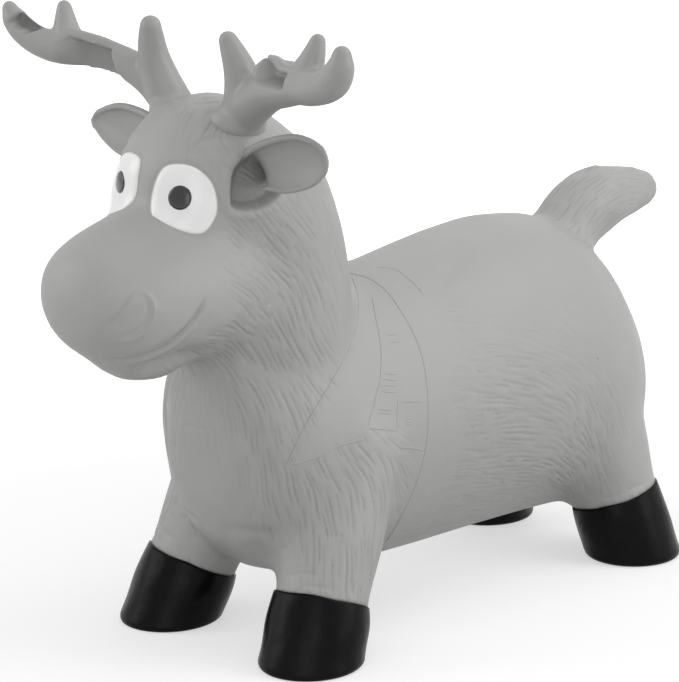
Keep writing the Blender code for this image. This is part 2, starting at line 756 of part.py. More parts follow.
# The skin itself: hollow, with its beds and holes
AIR = offset(FORM, -SKIN_WALL, "air_space")
THIN = AIR.modifiers.new("fewer faces", "DECIMATE")
THIN.ratio = AIR_FACE_SHARE
THIN.use_collapse_triangulate = True
AIR = footed(baked(AIR, "air_space"), HOOF_WALL + FIT_GAP + SKIN_WALL, SKIN_WALL)
SKIN = footed(FORM, HOOF_WALL + FIT_GAP, FIT_GAP)
for cutter in [EYE_BEDS, AIR, *HOLES, VALVE_HOLE]:
    boolean(SKIN, cutter)
dress(SKIN, "body_skin", SKIN_VINYL)
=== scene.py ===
from math import cos, exp, pi, radians, sin

import bmesh
import bpy
import numpy as np
from mathutils import Matrix, Vector, noise
from mathutils.bvhtree import BVHTree
from mathutils.kdtree import KDTree


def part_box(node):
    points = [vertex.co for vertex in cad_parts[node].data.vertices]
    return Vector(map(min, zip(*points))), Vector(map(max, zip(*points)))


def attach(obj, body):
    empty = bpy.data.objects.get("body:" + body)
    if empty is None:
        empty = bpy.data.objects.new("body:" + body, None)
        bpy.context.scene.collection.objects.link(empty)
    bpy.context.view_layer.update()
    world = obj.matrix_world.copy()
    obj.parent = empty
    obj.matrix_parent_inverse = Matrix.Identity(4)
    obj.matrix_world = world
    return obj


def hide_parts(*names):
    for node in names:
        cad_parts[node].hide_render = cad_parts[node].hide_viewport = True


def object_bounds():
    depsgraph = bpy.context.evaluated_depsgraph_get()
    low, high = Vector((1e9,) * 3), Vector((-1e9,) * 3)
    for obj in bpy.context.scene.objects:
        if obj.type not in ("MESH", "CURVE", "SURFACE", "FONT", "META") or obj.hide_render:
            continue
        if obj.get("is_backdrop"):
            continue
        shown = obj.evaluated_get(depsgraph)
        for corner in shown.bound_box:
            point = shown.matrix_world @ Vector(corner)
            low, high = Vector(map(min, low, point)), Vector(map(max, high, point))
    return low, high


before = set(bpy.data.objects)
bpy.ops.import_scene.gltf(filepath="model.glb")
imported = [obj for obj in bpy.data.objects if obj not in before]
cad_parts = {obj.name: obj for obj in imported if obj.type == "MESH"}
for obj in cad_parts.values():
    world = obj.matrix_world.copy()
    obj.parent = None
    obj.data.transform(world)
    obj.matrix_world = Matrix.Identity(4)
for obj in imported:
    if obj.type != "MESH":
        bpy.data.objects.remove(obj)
CAD_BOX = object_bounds()

# The photograph's view: the toy is seen from ahead and from its own left, a little from above,
# through a long lens. Places that were read off the photograph are pixels of this picture.
VIEW_TURN = radians(44.18)
VIEW_RISE = radians(13.78)
VIEW_DISTANCE = 2.30
VIEW_TARGET = Vector((0, -0.052, 0.2202))
PICTURE_WIDTH = 679
PICTURE_HEIGHT = 682
FOCAL_PIXELS = 2920
SENSOR = 36

VIEW_BACK = Vector((sin(VIEW_TURN) * cos(VIEW_RISE), -cos(VIEW_TURN) * cos(VIEW_RISE), sin(VIEW_RISE)))
VIEW_RIGHT = Vector((cos(VIEW_TURN), sin(VIEW_TURN), 0))
VIEW_UP = VIEW_BACK.cross(VIEW_RIGHT)
VIEW_POINT = VIEW_TARGET + VIEW_BACK * VIEW_DISTANCE


def placed(name, data):
    """A new object in the scene."""
    made = bpy.data.objects.new(name, data)
    bpy.context.scene.collection.objects.link(made)
    return made


def sight(pixel):
    """The direction in which the camera sees this pixel."""
    x = pixel[0] - PICTURE_WIDTH / 2
    y = pixel[1] - PICTURE_HEIGHT / 2
    return (VIEW_RIGHT * x - VIEW_UP * y - VIEW_BACK * FOCAL_PIXELS).normalized()


lens = bpy.data.cameras.new("camera")
lens.sensor_width = SENSOR
lens.lens = SENSOR * FOCAL_PIXELS / PICTURE_HEIGHT
camera = placed("camera", lens)
camera.location = VIEW_POINT
camera.rotation_euler = VIEW_BACK.to_track_quat("Z", "Y").to_euler()
bpy.context.scene.camera = camera

# The studio: a pale floor that fades into a white surround, and broad soft lamps. Most light comes
# from both sides, so the animal's flanks are its brightest parts and the fur stands out.
LAMPS = (
    # name, turn from the camera's side and rise in degrees, watts
    ("side", 75, 15, 15.5),
    ("high_side", 90, 45, 13),
    ("far_side", -90, 20, 14),
    ("front", -8, 14, 9),
    ("top", 10, 82, 6.5),
    ("back", 165, 40, 3),
)
LAMP_DISTANCE = 2.6
LAMP_SIZE = 1.6
AMBIENT = 0.5
FLOOR_HALF = 6.0
FLOOR_GREY = 0.55
FLOOR_ROUGHNESS = 0.9
FLOOR_GLOW = 0.54
FLOOR_CLEAR = 0.45
FLOOR_HAZE = 1.6
WHITE = (1, 1, 1, 1)

for name, turn, rise, watts in LAMPS:
    lamp = bpy.data.lights.new(name, "AREA")
    lamp.shape = "DISK"
    lamp.size = LAMP_SIZE
    lamp.energy = watts
    turn = VIEW_TURN + radians(turn)
    rise = radians(rise)
    aim = Vector((sin(turn) * cos(rise), -cos(turn) * cos(rise), sin(rise)))
    holder = placed(name, lamp)
    holder.location = VIEW_TARGET + aim * LAMP_DISTANCE
    holder.rotation_euler = aim.to_track_quat("Z", "Y").to_euler()


def fill(tree, made, values):
    """Sets a node's inputs, each to a value or to the socket that feeds it."""
    for name, value in values.items():
        if isinstance(value, bpy.types.NodeSocket):
            tree.links.new(value, made.inputs[name])
        else:
            made.inputs[name].default_value = value


def node(tree, kind, values=None, **settings):
    """A new node in a tree, with its settings and its inputs by name or number."""
    made = tree.nodes.new(kind)
    for name, value in settings.items():
        setattr(made, name, value)
    fill(tree, made, values or {})
    return made


def worked(tree, operation, *values):
    """The result of a maths node on sockets or numbers."""
    return node(tree, "ShaderNodeMath", dict(enumerate(values)), operation=operation).outputs[0]


def seen_directly(tree):
    """A value that is 1 for rays that show the background: the camera's, a reflection's, a glass's."""
    path = node(tree, "ShaderNodeLightPath").outputs
    either = worked(tree, "MAXIMUM", path["Is Camera Ray"], path["Is Glossy Ray"])
    return worked(tree, "MAXIMUM", either, path["Is Transmission Ray"])


world = bpy.data.worlds.new("studio")
world.use_nodes = True
bpy.context.scene.world = world
sky = world.node_tree
ambient = sky.nodes["Background"]
fill(sky, ambient, {"Strength": AMBIENT, "Color": WHITE})
white = node(sky, "ShaderNodeBackground", {"Strength": 1, "Color": WHITE})
choice = node(
    sky, "ShaderNodeMixShader", {0: seen_directly(sky), 1: ambient.outputs[0], 2: white.outputs[0]}
)
fill(sky, sky.nodes["World Output"], {"Surface": choice.outputs[0]})

floor_finish = bpy.data.materials.new("pale_floor")
floor_finish.use_nodes = True
tree = floor_finish.node_tree
spot = node(tree, "ShaderNodeTexCoord")
radius = node(tree, "ShaderNodeVectorMath", {0: spot.outputs["Object"]}, operation="LENGTH")
haze = node(tree, "ShaderNodeMapRange", {
    "Value": radius.outputs["Value"],
    "From Min": FLOOR_CLEAR,
    "From Max": FLOOR_HAZE,
    "To Min": FLOOR_GLOW,
    "To Max": 1,
})
fill(tree, tree.nodes["Principled BSDF"], {
    "Base Color": (FLOOR_GREY, FLOOR_GREY, FLOOR_GREY, 1),
    "Roughness": FLOOR_ROUGHNESS,
    "Specular IOR Level": 0,
    "Emission Color": WHITE,
    "Emission Strength": worked(tree, "MULTIPLY", seen_directly(tree), haze.outputs["Result"]),
})

sheet = bpy.data.meshes.new("floor")
corners = [(x * FLOOR_HALF, y * FLOOR_HALF, 0) for x, y in ((-1, -1), (1, -1), (1, 1), (-1, 1))]
sheet.from_pydata(corners, [], [(0, 1, 2, 3)])
sheet.materials.append(floor_finish)
floor = placed("floor", sheet)
floor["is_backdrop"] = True

bpy.context.scene.view_settings.view_transform = "Standard"

# The skin is one hollow moulding of soft grey PVC: torso, neck, head, four stub legs and tail. It
# was cast in a turning mould, so masses run into each other with soft fillets. First its plain form.
TORSO_FRONT_Y = -0.209
TORSO_LENGTH = 0.492
TORSO_WIDTH = 0.202
TORSO_HEIGHT = 0.259
BELLY_CLEARANCE = 0.038
HEAD_FRONT_Y = TORSO_FRONT_Y - 0.052
HEAD_DEPTH = 0.193
HEAD_WIDTH = 0.142
HEAD_HEIGHT = 0.233
HEAD_BASE_Z = 0.200
MUZZLE_LENGTH = 0.162
MUZZLE_WIDTH = 0.134
MUZZLE_HEIGHT = 0.119
MUZZLE_BASE_Z = 0.236
NOSE_Y = HEAD_FRONT_Y - 0.075
JAW_PLACE = (0, -0.263, 0.254)
JAW_SIZE = (0.086, 0.080, 0.052)
MOUND_PLACE = (0.034, -0.228, 0.358)
MOUND_SIZE = (0.044, 0.050, 0.048)
TAIL_ROOT = Vector((0, 0.212, 0.262))
TAIL_LENGTH = 0.126
TAIL_RISE = 0.030
TAIL_RADIUS = 0.0325
FOOT_RADIUS = 0.0395
ANKLE_RADIUS = 0.0365
LEG_TOP_Z = 0.165
KNEE_SHARE = 0.55
SKIN_VOXEL = 0.0080
SKIN_ROUNDS = 6

# Each table gives shares of the sizes above. Torso and muzzle: along, bottom, top, width
TORSO_SHARES = (
    (0.000, 0.50, 0.635, 0.12), (0.012, 0.32, 0.773, 0.42), (0.042, 0.18, 0.831, 0.62),
    (0.103, 0.08, 0.878, 0.79), (0.193, 0.03, 0.902, 0.87), (0.314, 0.016, 0.914, 0.90),
    (0.435, 0.012, 0.945, 0.94), (0.555, 0.012, 0.980, 0.98), (0.676, 0.008, 1.000, 1.00),
    (0.777, 0.000, 0.980, 0.99), (0.857, 0.008, 0.902, 0.91), (0.918, 0.047, 0.761, 0.76),
    (0.962, 0.110, 0.627, 0.57), (0.990, 0.196, 0.478, 0.34), (1.000, 0.263, 0.380, 0.12),
)
MUZZLE_SHARES = (
    (0.000, 0.440, 0.620, 0.15), (0.025, 0.303, 0.750, 0.45), (0.108, 0.168, 0.855, 0.69),
    (0.236, 0.076, 0.925, 0.84), (0.395, 0.017, 0.983, 0.94), (0.586, 0.000, 1.000, 1.00),
    (0.809, 0.034, 1.000, 0.985), (1.000, 0.160, 0.916, 0.82),
)
# Up the neck and head: height, front, back, width
HEAD_SHARES = (
    (0.000, 0.351, 1.000, 0.93), (0.172, 0.297, 1.000, 1.00), (0.343, 0.281, 0.989, 1.00),
    (0.451, 0.254, 0.968, 0.99), (0.536, 0.178, 0.951, 0.99), (0.622, 0.065, 0.919, 1.00),
    (0.708, 0.000, 0.876, 1.00), (0.794, 0.011, 0.795, 0.96), (0.858, 0.049, 0.708, 0.86),
    (0.914, 0.103, 0.622, 0.70), (0.961, 0.178, 0.541, 0.51), (0.991, 0.270, 0.459, 0.28),
    (1.000, 0.324, 0.405, 0.11),
)
# Back along the tail: along, up, thickness
TAIL_SHARES = (
    (0.00, 0.00, 0.86), (0.19, 0.60, 0.95), (0.40, 0.93, 0.95),
    (0.62, 1.00, 0.76), (0.84, 1.00, 0.61), (0.94, 1.00, 0.54), (0.985, 1.00, 0.40), (1.00, 1.00, 0.22),
)
# Each foot: where its axis meets the floor, its lean in a unit of height, the radius at the top
# and the height of the hoof
FRONT_LEG = (0.079, -0.165, -0.15, 0.42, 0.044, 0.0505)
HIND_LEG = (0.083, 0.222, -0.26, -0.20, 0.048, 0.0560)
SIDES = (("left", 1), ("right", -1))
LEGS = {
    "front_left": (1, *FRONT_LEG),
    "front_right": (-1, *FRONT_LEG),
    "hind_left": (1, *HIND_LEG),
    "hind_right": (-1, *HIND_LEG),
}


def oval(centre, across, up, sides=32):
    """The points of an oval ring."""
    turns = [2 * pi * i / sides for i in range(sides)]
    return [centre + across * cos(turn) + up * sin(turn) for turn in turns]


def joined(shape, rows):
    """Adds the faces between rows of points, each a closed ring."""
    for low, high in zip(rows, rows[1:]):
        for i in range(len(low)):
            j = (i + 1) % len(low)
            shape.faces.new((low[i], low[j], high[j], high[i]))


def capped(shape, rows):
    """Adds the faces between rows of points and over both ends."""
    joined(shape, rows)
    shape.faces.new(list(reversed(rows[0])))
    shape.faces.new(rows[-1])


def loft(shape, rings):
    """Adds a closed form through rings that have the same number of points."""
    capped(shape, [[shape.verts.new(point) for point in ring] for ring in rings])


def stacked(shape, table, start, way, rise, width):
    """Adds a form through upright or level ovals, by shares of its way, its rise and its width."""
    start, way, rise = (np.array(sizes) for sizes in (start, way, rise))
    rings = []
    for along, low, high, wide in table:
        centre = Vector(start + along * way + (low + high) / 2 * rise)
        rings.append(oval(centre, Vector((wide * width / 2, 0, 0)), Vector((high - low) / 2 * rise)))
    loft(shape, rings)


def ball(shape, centre, size):
    """Adds an ellipsoid."""
    spread = Matrix.Translation(centre) @ Matrix.Diagonal((*size, 1))
    bmesh.ops.create_uvsphere(shape, u_segments=32, v_segments=20, radius=0.5, matrix=spread)


def tube(shape, points, radii, resolution=8):
    """Adds a tapered tube with filled ends."""
    curve = bpy.data.curves.new("tube", "CURVE")
    curve.dimensions = "3D"
    curve.bevel_depth = 1
    curve.bevel_resolution = 6
    curve.resolution_u = resolution
    curve.use_fill_caps = True
    spline = curve.splines.new("BEZIER")
    spline.bezier_points.add(len(points) - 1)
    for bend, point, radius in zip(spline.bezier_points, points, radii):
        bend.co = point
        bend.radius = radius
        bend.handle_left_type = bend.handle_right_type = "AUTO"
    holder = placed("tube", curve)
    mesh = evaluated(holder)
    shape.from_mesh(mesh)
    bpy.data.objects.remove(holder)
    bpy.data.curves.remove(curve)
    bpy.data.meshes.remove(mesh)


def evaluated(holder):
    """An object's mesh after its modifiers."""
    bpy.context.view_layer.update()
    return bpy.data.meshes.new_from_object(holder.evaluated_get(bpy.context.evaluated_depsgraph_get()))


def meshed(shape, name):
    """The mesh of a finished shape."""
    mesh = bpy.data.meshes.new(name)
    shape.to_mesh(mesh)
    shape.free()
    return mesh


def melted(shape, name, voxel, rounds):
    """One smooth closed mesh from closed masses that overlap."""
    holder = placed(name, meshed(shape, name))
    merge = holder.modifiers.new("merge", "REMESH")
    merge.mode = "VOXEL"
    merge.voxel_size = voxel
    fillets = holder.modifiers.new("fillets", "SMOOTH")
    fillets.factor = 0.5
    fillets.iterations = rounds
    mesh = evaluated(holder)
    bpy.data.objects.remove(holder)
    return mesh


masses = bmesh.new()
stacked(
    masses, TORSO_SHARES, (0, TORSO_FRONT_Y, BELLY_CLEARANCE), (0, TORSO_LENGTH, 0), (0, 0, TORSO_HEIGHT),
    TORSO_WIDTH,
)
stacked(
    masses, HEAD_SHARES, (0, HEAD_FRONT_Y, HEAD_BASE_Z), (0, 0, HEAD_HEIGHT), (0, HEAD_DEPTH, 0), HEAD_WIDTH,
)
stacked(
    masses, MUZZLE_SHARES, (0, NOSE_Y, MUZZLE_BASE_Z), (0, MUZZLE_LENGTH, 0), (0, 0, MUZZLE_HEIGHT),
    MUZZLE_WIDTH,
)
ball(masses, Vector(JAW_PLACE), JAW_SIZE)
for _, side in SIDES:
    ball(masses, Vector((side * MOUND_PLACE[0], *MOUND_PLACE[1:])), MOUND_SIZE)
tube(
    masses,
    [TAIL_ROOT + Vector((0, back * TAIL_LENGTH, up * TAIL_RISE)) for back, up, _ in TAIL_SHARES],
    [wide * TAIL_RADIUS for _, _, wide in TAIL_SHARES],
)
for side, foot_x, foot_y, lean_x, lean_y, top_radius, rim in LEGS.values():
    heights = (LEG_TOP_Z, LEG_TOP_Z * KNEE_SHARE, rim, 0, -ANKLE_RADIUS)
    radii = (top_radius, (top_radius + ANKLE_RADIUS) / 2, ANKLE_RADIUS, FOOT_RADIUS, FOOT_RADIUS)
    points = [Vector((side * (foot_x + lean_x * z), foot_y + lean_y * z, z)) for z in heights]
    tube(masses, points, radii)
bmesh.ops.recalc_face_normals(masses, faces=masses.faces)

form = melted(masses, "skin_form", SKIN_VOXEL, SKIN_ROUNDS)

# The legs end just inside the hoof caps, where the real skin goes on to fill them.
LEG_TUCK = 0.014
LEG_REGION = 0.055


def leg_axis(leg):
    """The middle of a leg at its hoof's rim, and the way the leg points up."""
    side, foot_x, foot_y, lean_x, lean_y, _, rim = leg
    axis = Vector((side * lean_x, lean_y, 1)).normalized()
    return Vector((side * foot_x, foot_y, 0)) + axis * rim, axis


shape = bmesh.new()
shape.from_mesh(form)
for leg in LEGS.values():
    rim_middle, axis = leg_axis(leg)
    cut = rim_middle - axis * LEG_TUCK
    faces = []
    for face in shape.faces:
        gap = face.calc_center_median() - cut
        if (gap - axis * gap.dot(axis)).length < LEG_REGION and gap.dot(axis) < LEG_TUCK:
            faces.append(face)
    # Each part once and in the order found: a set's order would differ from run to run
    region = list(dict.fromkeys(part for face in faces for part in (face, *face.edges, *face.verts)))
    bmesh.ops.bisect_plane(shape, geom=region, plane_co=cut, plane_no=-axis, clear_outer=True)
open_edges = [edge for edge in shape.edges if edge.is_boundary]
bmesh.ops.holes_fill(shape, edges=open_edges)
bmesh.ops.recalc_face_normals(shape, faces=shape.faces)
shape.to_mesh(form)
shape.free()


def refined(mesh, levels):
    """The mesh after this many rounds of subdivision."""
    holder = placed(mesh.name, mesh)
    finer = holder.modifiers.new("finer", "SUBSURF")
    finer.levels = finer.render_levels = levels
    made = evaluated(holder)
    bpy.data.objects.remove(holder)
    return made


def surface_of(mesh):
    """A mesh as something that rays and nearest places can be found on."""
    shape = bmesh.new()
    shape.from_mesh(mesh)
    found = BVHTree.FromBMesh(shape)
    shape.free()
    return found


SKIN = surface_of(form)


def on_skin(pixel):
    """The place on the plain skin that the photograph shows at this pixel."""
    place = SKIN.ray_cast(VIEW_POINT, sight(pixel))[0]
    if place is None:
        place = SKIN.find_nearest(VIEW_POINT + sight(pixel) * (VIEW_TARGET - VIEW_POINT).length)[0]
    return place


def on_side(side, place):
    """A place of the left side, 1, or its mirror image on the right side, -1."""
    return Vector((side * place.x, place.y, place.z))


def mirrored(points):
    """The mirror images of places."""
    return [on_side(-1, point) for point in points]


def bent(a, b, c, d, t):
    """The point at a share of the way from b to c on the smooth curve through four points."""
    return (2 * b + (c - a) * t + (2 * a - 5 * b + 4 * c - d) * t**2 + (3 * b - a - 3 * c + d) * t**3) / 2


def smooth_line(points, step=0.001):
    """Places at an even step along a smooth curve through these points."""
    knots = [np.array(point) for point in points]
    knots = [2 * knots[0] - knots[1], *knots, 2 * knots[-1] - knots[-2]]
    line = []
    for a, b, c, d in zip(knots, knots[1:], knots[2:], knots[3:]):
        count = max(1, int(np.linalg.norm(c - b) / step))
        line += [Vector(bent(a, b, c, d, i / count)) for i in range(count)]
    line.append(Vector(points[-1]))
    return line


# The jaw flows over into the neck without a crease, so the form is smoothed round this line.
EASED_PIXELS = ((205, 362), (224, 350), (243, 334), (260, 318), (279, 298), (290, 285))
EASED_RADIUS = 0.015
EASED_ROUNDS = 45
EASED_STEP = 0.004

line = smooth_line([on_skin(pixel) for pixel in EASED_PIXELS], EASED_STEP)
near = KDTree(2 * len(line))
for index, place in enumerate([*line, *mirrored(line)]):
    near.insert(place, index)
near.balance()
shape = bmesh.new()
shape.from_mesh(form)
eased_points = []
for point in shape.verts:
    gap = near.find(point.co)[2]
    if gap < 2 * EASED_RADIUS:
        share = 0.5 * exp(-((gap / EASED_RADIUS) ** 2))
        eased_points.append((point, share, [edge.other_vert(point) for edge in point.link_edges]))
for _ in range(EASED_ROUNDS):
    moves = []
    for point, share, around in eased_points:
        middle = sum((other.co for other in around), Vector()) / len(around)
        moves.append((middle - point.co) * share)
    for (point, _, _), move in zip(eased_points, moves):
        point.co += move
shape.to_mesh(form)
shape.free()
SKIN = surface_of(refined(form, 1))

# The skin's detail is cut on a finer mesh of the same form.
DETAIL_LEVELS = 3
MARK_REACH = 2.2


def vectors(mesh, kind):
    """The places or normals of a mesh's points, as rows of x, y and z."""
    values = np.zeros(len(mesh.vertices) * 3)
    mesh.vertices.foreach_get(kind, values)
    return values.reshape(-1, 3)


skin_mesh = refined(form, DETAIL_LEVELS)
places = vectors(skin_mesh, "co")
normals = vectors(skin_mesh, "normal")
count = len(places)
skin_tree = KDTree(count)
for index, place in enumerate(places):
    skin_tree.insert(place, index)
skin_tree.balance()


def mark(strength, line, width, fade, most=1):
    """Marks the skin's points along a line: most on it, less further off and at its ends."""
    for i, point in enumerate(line):
        share = i / max(1, len(line) - 1)
        taper = most * min(1, share / fade, (1 - share) / fade)
        for _, index, distance in skin_tree.find_range(point, MARK_REACH * width):
            strength[index] = max(strength[index], taper * exp(-((distance / width) ** 2)))


# The face, the chest and the feet have soft folds. Each follows a line of pixels on the animal's left
# side, and is mirrored to the right.
FOLDS = (
    # height, width and the share of each end that fades, then the pixels
    # Mouth: the crease, the lower lip's ridge, the crease below that, and the upper lip's swell
    (-0.0034, 0.0019, 0.12, (
        (206, 298), (196, 317), (181, 333), (162, 348), (144, 356), (127, 360), (97, 357),
    )),
    (0.0016, 0.0024, 0.30, ((206, 307), (190, 330), (170, 347), (150, 358), (132, 364), (116, 365))),
    (-0.0012, 0.0014, 0.30, ((180, 345), (166, 355), (150, 363), (138, 369), (128, 374))),
    (0.0012, 0.0050, 0.30, ((196, 306), (184, 322), (166, 336), (146, 346), (126, 350))),
    (-0.0010, 0.0014, 0.30, ((93, 356), (98, 361), (105, 367))),
    # Jaw: its underside draws in towards the neck
    (-0.0110, 0.0130, 0.30, ((138, 377), (152, 374), (166, 370), (180, 364), (197, 356))),
    # Nostril: its shaded edge, its sunk inside, its raised rim and the groove inside the rim
    (-0.0015, 0.0016, 0.25, ((103, 331), (113, 320), (122, 309), (130, 298), (139, 293))),
    (-0.0014, 0.0045, 0.30, ((112, 329), (127, 320), (140, 307))),
    (0.0013, 0.0015, 0.20, (
        (136, 291), (146, 293), (153, 302), (154, 314), (147, 329), (134, 339), (104, 341),
    )),
    (-0.0008, 0.0012, 0.20, ((140, 297), (147, 302), (148, 313), (142, 326), (130, 334), (114, 337))),
    # Forehead: the edge of its tuft and two creases on the crest
    (-0.0011, 0.0016, 0.20, ((226, 134), (212, 137), (200, 142), (190, 147))),
    (-0.0008, 0.0012, 0.25, ((178, 101), (186, 97), (195, 96))),
    (-0.0008, 0.0012, 0.25, ((189, 105), (204, 103), (222, 102))),
    # The soft ridge round the bowl that runs into the ear
    (0.0012, 0.0034, 0.15, (
        (284, 195), (277, 204.5), (266, 211.5), (253, 216), (240, 217), (228, 211), (225.5, 194), (227, 173),
        (232, 162), (241, 152), (252, 145),
    )),
    # Chest: the hollow before the leg
    (-0.0045, 0.0140, 0.35, ((236, 392), (248, 430), (258, 470), (264, 510))),
    # The jaw runs softly over into the neck
    (0.0020, 0.0130, 0.40, ((226, 350), (243, 334), (260, 318), (279, 298))),
    # Legs: a fold over the other foot, and folds at the hooves
    (-0.0016, 0.0060, 0.35, ((178, 503), (191, 517), (206, 536), (216, 546))),
    (-0.0007, 0.0014, 0.25, ((282, 577), (297, 574), (312, 574), (328, 577))),
    (-0.0006, 0.0013, 0.25, ((300, 586), (320, 587), (340, 592))),
    (-0.0007, 0.0014, 0.25, ((590, 500), (610, 497), (634, 488), (650, 480))),
    # A shallow fold across the back, at the edge of the saddle
    (-0.0010, 0.0070, 0.35, ((428, 293), (445, 276), (460, 258), (477, 243))),
    # A nick in the chest
    (-0.0006, 0.0010, 0.30, ((192, 428), (200, 429), (208, 433))),
)
# Round each eye: the hollow over it, the lid, and the cheek below. The right eye stands a little nearer
# to the nose than the left one, and leans towards it at the top.
EYE_FOLDS = (
    # height, width and the share of each end that fades
    (-0.0014, 0.0042, 0.30),
    (0.0008, 0.0022, 0.25),
    (0.0010, 0.0080, 0.40),
)
EYE_FOLD_PIXELS = {
    "left": (
        ((178, 152), (203, 153), (219, 168), (226, 190)),
        ((160, 168), (172, 159), (190, 158), (206, 166), (217, 182), (223, 203), (219, 222)),
        ((168, 240), (190, 250), (212, 248)),
    ),
    "right": (
        ((169, 149), (194, 152), (212, 168), (219, 190)),
        ((146, 155), (160, 153), (183, 157), (199, 166), (210, 182), (216, 203), (212, 222)),
        ((161, 240), (183, 250), (205, 248)),
    ),
}
# The outline of each eye's white, with a fine sunk line just outside it
EYE_PIXELS = {
    "left": (
        (181, 164), (166, 166), (158, 176), (152, 194), (151, 212), (158, 219), (179, 230), (198, 234),
        (209, 228), (217, 212), (216, 194), (209, 179), (196, 168),
    ),
    "right": (
        (172, 160), (160, 158.5), (150.5, 160.5), (146, 168), (144.5, 182), (144, 197), (146, 209),
        (151.5, 217.5), (172, 229), (191, 234), (202, 228), (210, 212), (209, 194), (202, 178), (188, 166),
    ),
}
EYE_LINE = (-0.0008, 0.0009, 0.03)
EYE_LINE_SPREAD = 1.055
rise = np.zeros(count)


def fold(lines, height, width, fade):
    """How far each point of the skin is raised by one fold that runs along these lines."""
    strength = np.zeros(count)
    for line in lines:
        mark(strength, smooth_line(line), width, fade)
    return height * strength


for height, width, fade, pixels in FOLDS:
    line = [on_skin(pixel) for pixel in pixels]
    rise += fold((line, mirrored(line)), height, width, fade)
for word, side in SIDES:
    outline = np.array(EYE_PIXELS[word], float)
    middle = outline.mean(0)
    outline = middle + (outline - middle) * EYE_LINE_SPREAD
    lines = (*EYE_FOLD_PIXELS[word], (*outline, outline[0]))
    for sizes, pixels in zip((*EYE_FOLDS, EYE_LINE), lines):
        rise += fold([[on_side(side, on_skin(pixel)) for pixel in pixels]], *sizes)

# The head is hollowed before the ear, so the leaf's cup runs on into it. The bowl's floor also gets painted
# shade.
BOWL_PIXELS = (
    (229, 192), (230.5, 176), (234, 166), (241.5, 157), (252, 149), (280, 148), (298, 168), (284, 192),
    (277, 201), (268, 207.5), (257, 211.8), (245, 213), (235, 211), (229.5, 206),
)
BOWL_MIDDLE = (252, 185)
BOWL_REACH = 0.06
BOWL_DEPTH = 0.0105
BOWL_EDGE_PIXELS = 8
BOWL_SHADE = 2.1


def seen_pixels(points):
    """The pixels at which the camera sees these points, as rows of x and y."""
    apart = points - np.array(VIEW_POINT)
    scale = FOCAL_PIXELS / -(apart @ np.array(VIEW_BACK))
    x = PICTURE_WIDTH / 2 + apart @ np.array(VIEW_RIGHT) * scale
    y = PICTURE_HEIGHT / 2 - apart @ np.array(VIEW_UP) * scale
    return np.stack((x, y), 1)


def within(pixels, outline):
    """How many pixels inside a closed outline each of these lies, and 0 outside."""
    inner = np.zeros(len(pixels), bool)
    apart = np.full(len(pixels), 1e9)
    for a, b in zip(outline, (*outline[1:], outline[0])):
        (ax, ay), (bx, by) = a, b
        crosses = (ay > pixels[:, 1]) != (by > pixels[:, 1])
        if ay != by:
            inner ^= crosses & (pixels[:, 0] < ax + (bx - ax) * (pixels[:, 1] - ay) / (by - ay))
        way = np.array((bx - ax, by - ay), float)
        share = np.clip(((pixels - a) @ way) / (way @ way), 0, 1)
        apart = np.minimum(apart, np.linalg.norm(pixels - a - share[:, None] * way, axis=1))
    return np.where(inner, apart, 0)


bowl_shade = np.zeros(count)
for _, side in SIDES:
    flip = np.array((side, 1, 1))
    facing = (normals * flip) @ np.array(VIEW_BACK) > 0
    gap = np.linalg.norm(places * flip - np.array(on_skin(BOWL_MIDDLE)), axis=1)
    near = facing & (gap < BOWL_REACH)
    share = within(seen_pixels(places[near] * flip), BOWL_PIXELS) / BOWL_EDGE_PIXELS
    share = np.clip(share, 0, 1)
    rise[near] -= BOWL_DEPTH * share * share * (3 - 2 * share)
    # Painted shade for the bowl's floor, full from a few pixels inside its edge
    bowl_shade[near] = np.clip(2 * share, 0, 1)

